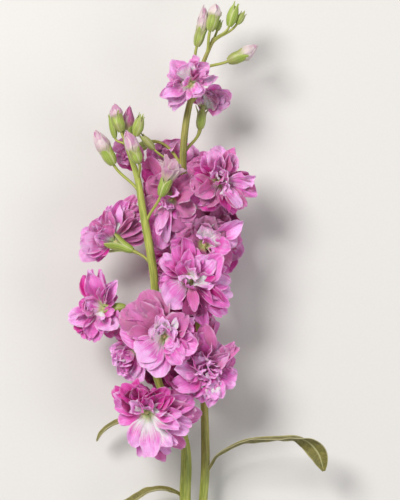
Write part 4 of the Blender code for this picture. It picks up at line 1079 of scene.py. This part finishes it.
def stem_material():
    """Stalk: yellow green with streaks along it, olive lower down, paler where it is a calyx."""
    g = Graph("stalk_skin")
    olive, calyx, brown = g.read()
    streaks = g.fibres(16.0, 0.8, spread=31.0)
    broad = g.grain(0.16, 3.0, 0.5)
    grain = g.grain(3.0)
    fresh = g.mix(g.step(streaks, 0.3, 0.7), FRESH_DARK, FRESH_LIGHT)
    dull = g.mix(g.step(streaks, 0.3, 0.7), OLIVE_DARK, OLIVE_LIGHT)
    sepal = g.mix(g.step(streaks, 0.35, 0.7), SEPAL_DARK, SEPAL_LIGHT)
    margin = g.step(g.from_middle, 0.62, 0.95, 0.0, 0.75) * g.math("GREATER_THAN", calyx, 0.95)
    body = g.layers(
        fresh, (g.math("ADD", olive, (broad - 0.5) * 0.6, clamp=True), dull), (calyx, sepal),
        (margin, SEPAL_EDGE), (brown * g.step(broad, 0.4, 0.6), SEPAL_BROWN),
        (g.step(grain, 0.45, 0.8, 0.0, 0.22), FRESH_GRAIN))
    g.bump(streaks + grain * 0.6, 0.45, 0.18)
    rough = g.step(grain, 0.2, 0.8, 0.42, 0.60)
    return g.finish(body, rough, 0.06, (0.6, 1.0, 0.3), 0.0008, 0.04, 0.5)


LEAF_DARK, LEAF_LIGHT, LEAF_VEIN = (0.105, 0.098, 0.020), (0.215, 0.19, 0.042), (0.32, 0.28, 0.09)
MIDRIB, LEAF_EDGE = (0.46, 0.45, 0.22), (0.50, 0.46, 0.26)


def leaf_material():
    """Leaf: olive with mottling, a pale midrib, side veins and a pale edge."""
    g = Graph("leaf_skin")
    g.read()
    middle, grain = g.from_middle, g.grain(2.4)
    slant = g.node("CombineXYZ", {0: middle * 0.8, 1: g.v * 4.5 - middle, 2: g.own})
    veins = g.noise(slant, 2.0, 0.5, 2.2)
    body = g.layers(
        LEAF_DARK, (g.step(g.grain(0.35, 4.0), 0.3, 0.7), LEAF_LIGHT),
        (g.step(veins, 0.5, 0.62, 0.0, 0.30), LEAF_VEIN), (g.step(middle, 0.16, 0.05, 0.0, 0.8), MIDRIB),
        (g.step(middle, 0.86, 0.98, 0.0, 0.7), LEAF_EDGE))
    g.bump(veins + grain * 0.5, 0.5, 0.2)
    rough = g.step(grain, 0.2, 0.8, 0.45, 0.65)
    return g.finish(body, rough, 0.05, (0.6, 1.0, 0.3), 0.0008, 0.08, 0.4)


# Stage

FLOOR_REACH = 1.5  # half a side of the floor in metres
FLOOR_DARK, FLOOR_LIGHT = (0.64, 0.63, 0.615), (0.68, 0.67, 0.655)
SKY_COLOUR, SKY_STRENGTH = (1.0, 0.98, 0.96), 0.42
# Name, place, width, energy and colour of the lights, which point at the middle of the plant
LIGHTS = [
    ("key", (-0.75, 0.75, 1.35), 0.7, 28.0, (1.0, 0.98, 0.95)),
    ("fill", (0.95, -0.35, 0.95), 0.9, 5.0, (0.95, 0.97, 1.0)),
]
MIDDLE = (0, 0.04, 0.03)
CAMERA_PLACE, FOCAL_LENGTH = (0.0018, 0.0405, 2.035), 288.0


def build_stage():
    mesh = bpy.data.meshes.new("floor")
    corners = [(x * FLOOR_REACH, y * FLOOR_REACH, 0) for x, y in ((-1, -1), (1, -1), (1, 1), (-1, 1))]
    mesh.from_pydata(corners, [], [(0, 1, 2, 3)])
    g = Graph("floor_paper")
    mesh.materials.append(g.finish(g.mix(g.grain(0.8, 4.0), FLOOR_DARK, FLOOR_LIGHT), 0.9))
    floor = placed("floor", mesh)


def add_light(name, place, size, energy, colour):
    lamp = bpy.data.lights.new(name, "AREA")
    lamp.shape = "DISK"
    lamp.size = size
    lamp.energy = energy
    lamp.color = colour
    back = unit(np.array(place) - np.array(MIDDLE))
    side = unit(np.cross(UP, back))
    up = np.cross(back, side)
    rows = [(side[i], up[i], back[i], place[i]) for i in range(3)]
    placed(name, lamp).matrix_world = Matrix(rows + [(0, 0, 0, 1)])


def build_lights():
    world = bpy.data.worlds.new("studio")
    world.use_nodes = True
    sky = world.node_tree.nodes["Background"]
    sky.inputs["Color"].default_value = (*SKY_COLOUR, 1.0)
    sky.inputs["Strength"].default_value = SKY_STRENGTH
    bpy.context.scene.world = world
    bpy.context.scene.view_settings.view_transform = "Standard"
    for light in LIGHTS:
        add_light(*light)


def build_camera():
    """A long lens straight above, over the middle of what the photo shows."""
    lens = bpy.data.cameras.new("camera")
    lens.sensor_width = 36.0
    lens.lens = FOCAL_LENGTH
    lens.clip_end = 10.0
    eye = placed("camera", lens)
    eye.location = CAMERA_PLACE
    bpy.context.scene.camera = eye


def main():
    pink, pale, leaf = petal_material(), bud_material(), leaf_material()
    for name in BLOOMS:
        build_bloom(name, pink)
    build_stem(stem_material())
    for name, bud in BUDS.items():
        if bud.tip:
            build_bud(name, pale)
    for name in LEAVES:
        build_leaf(name, leaf)
    build_stage()
    build_lights()
    build_camera()


main()
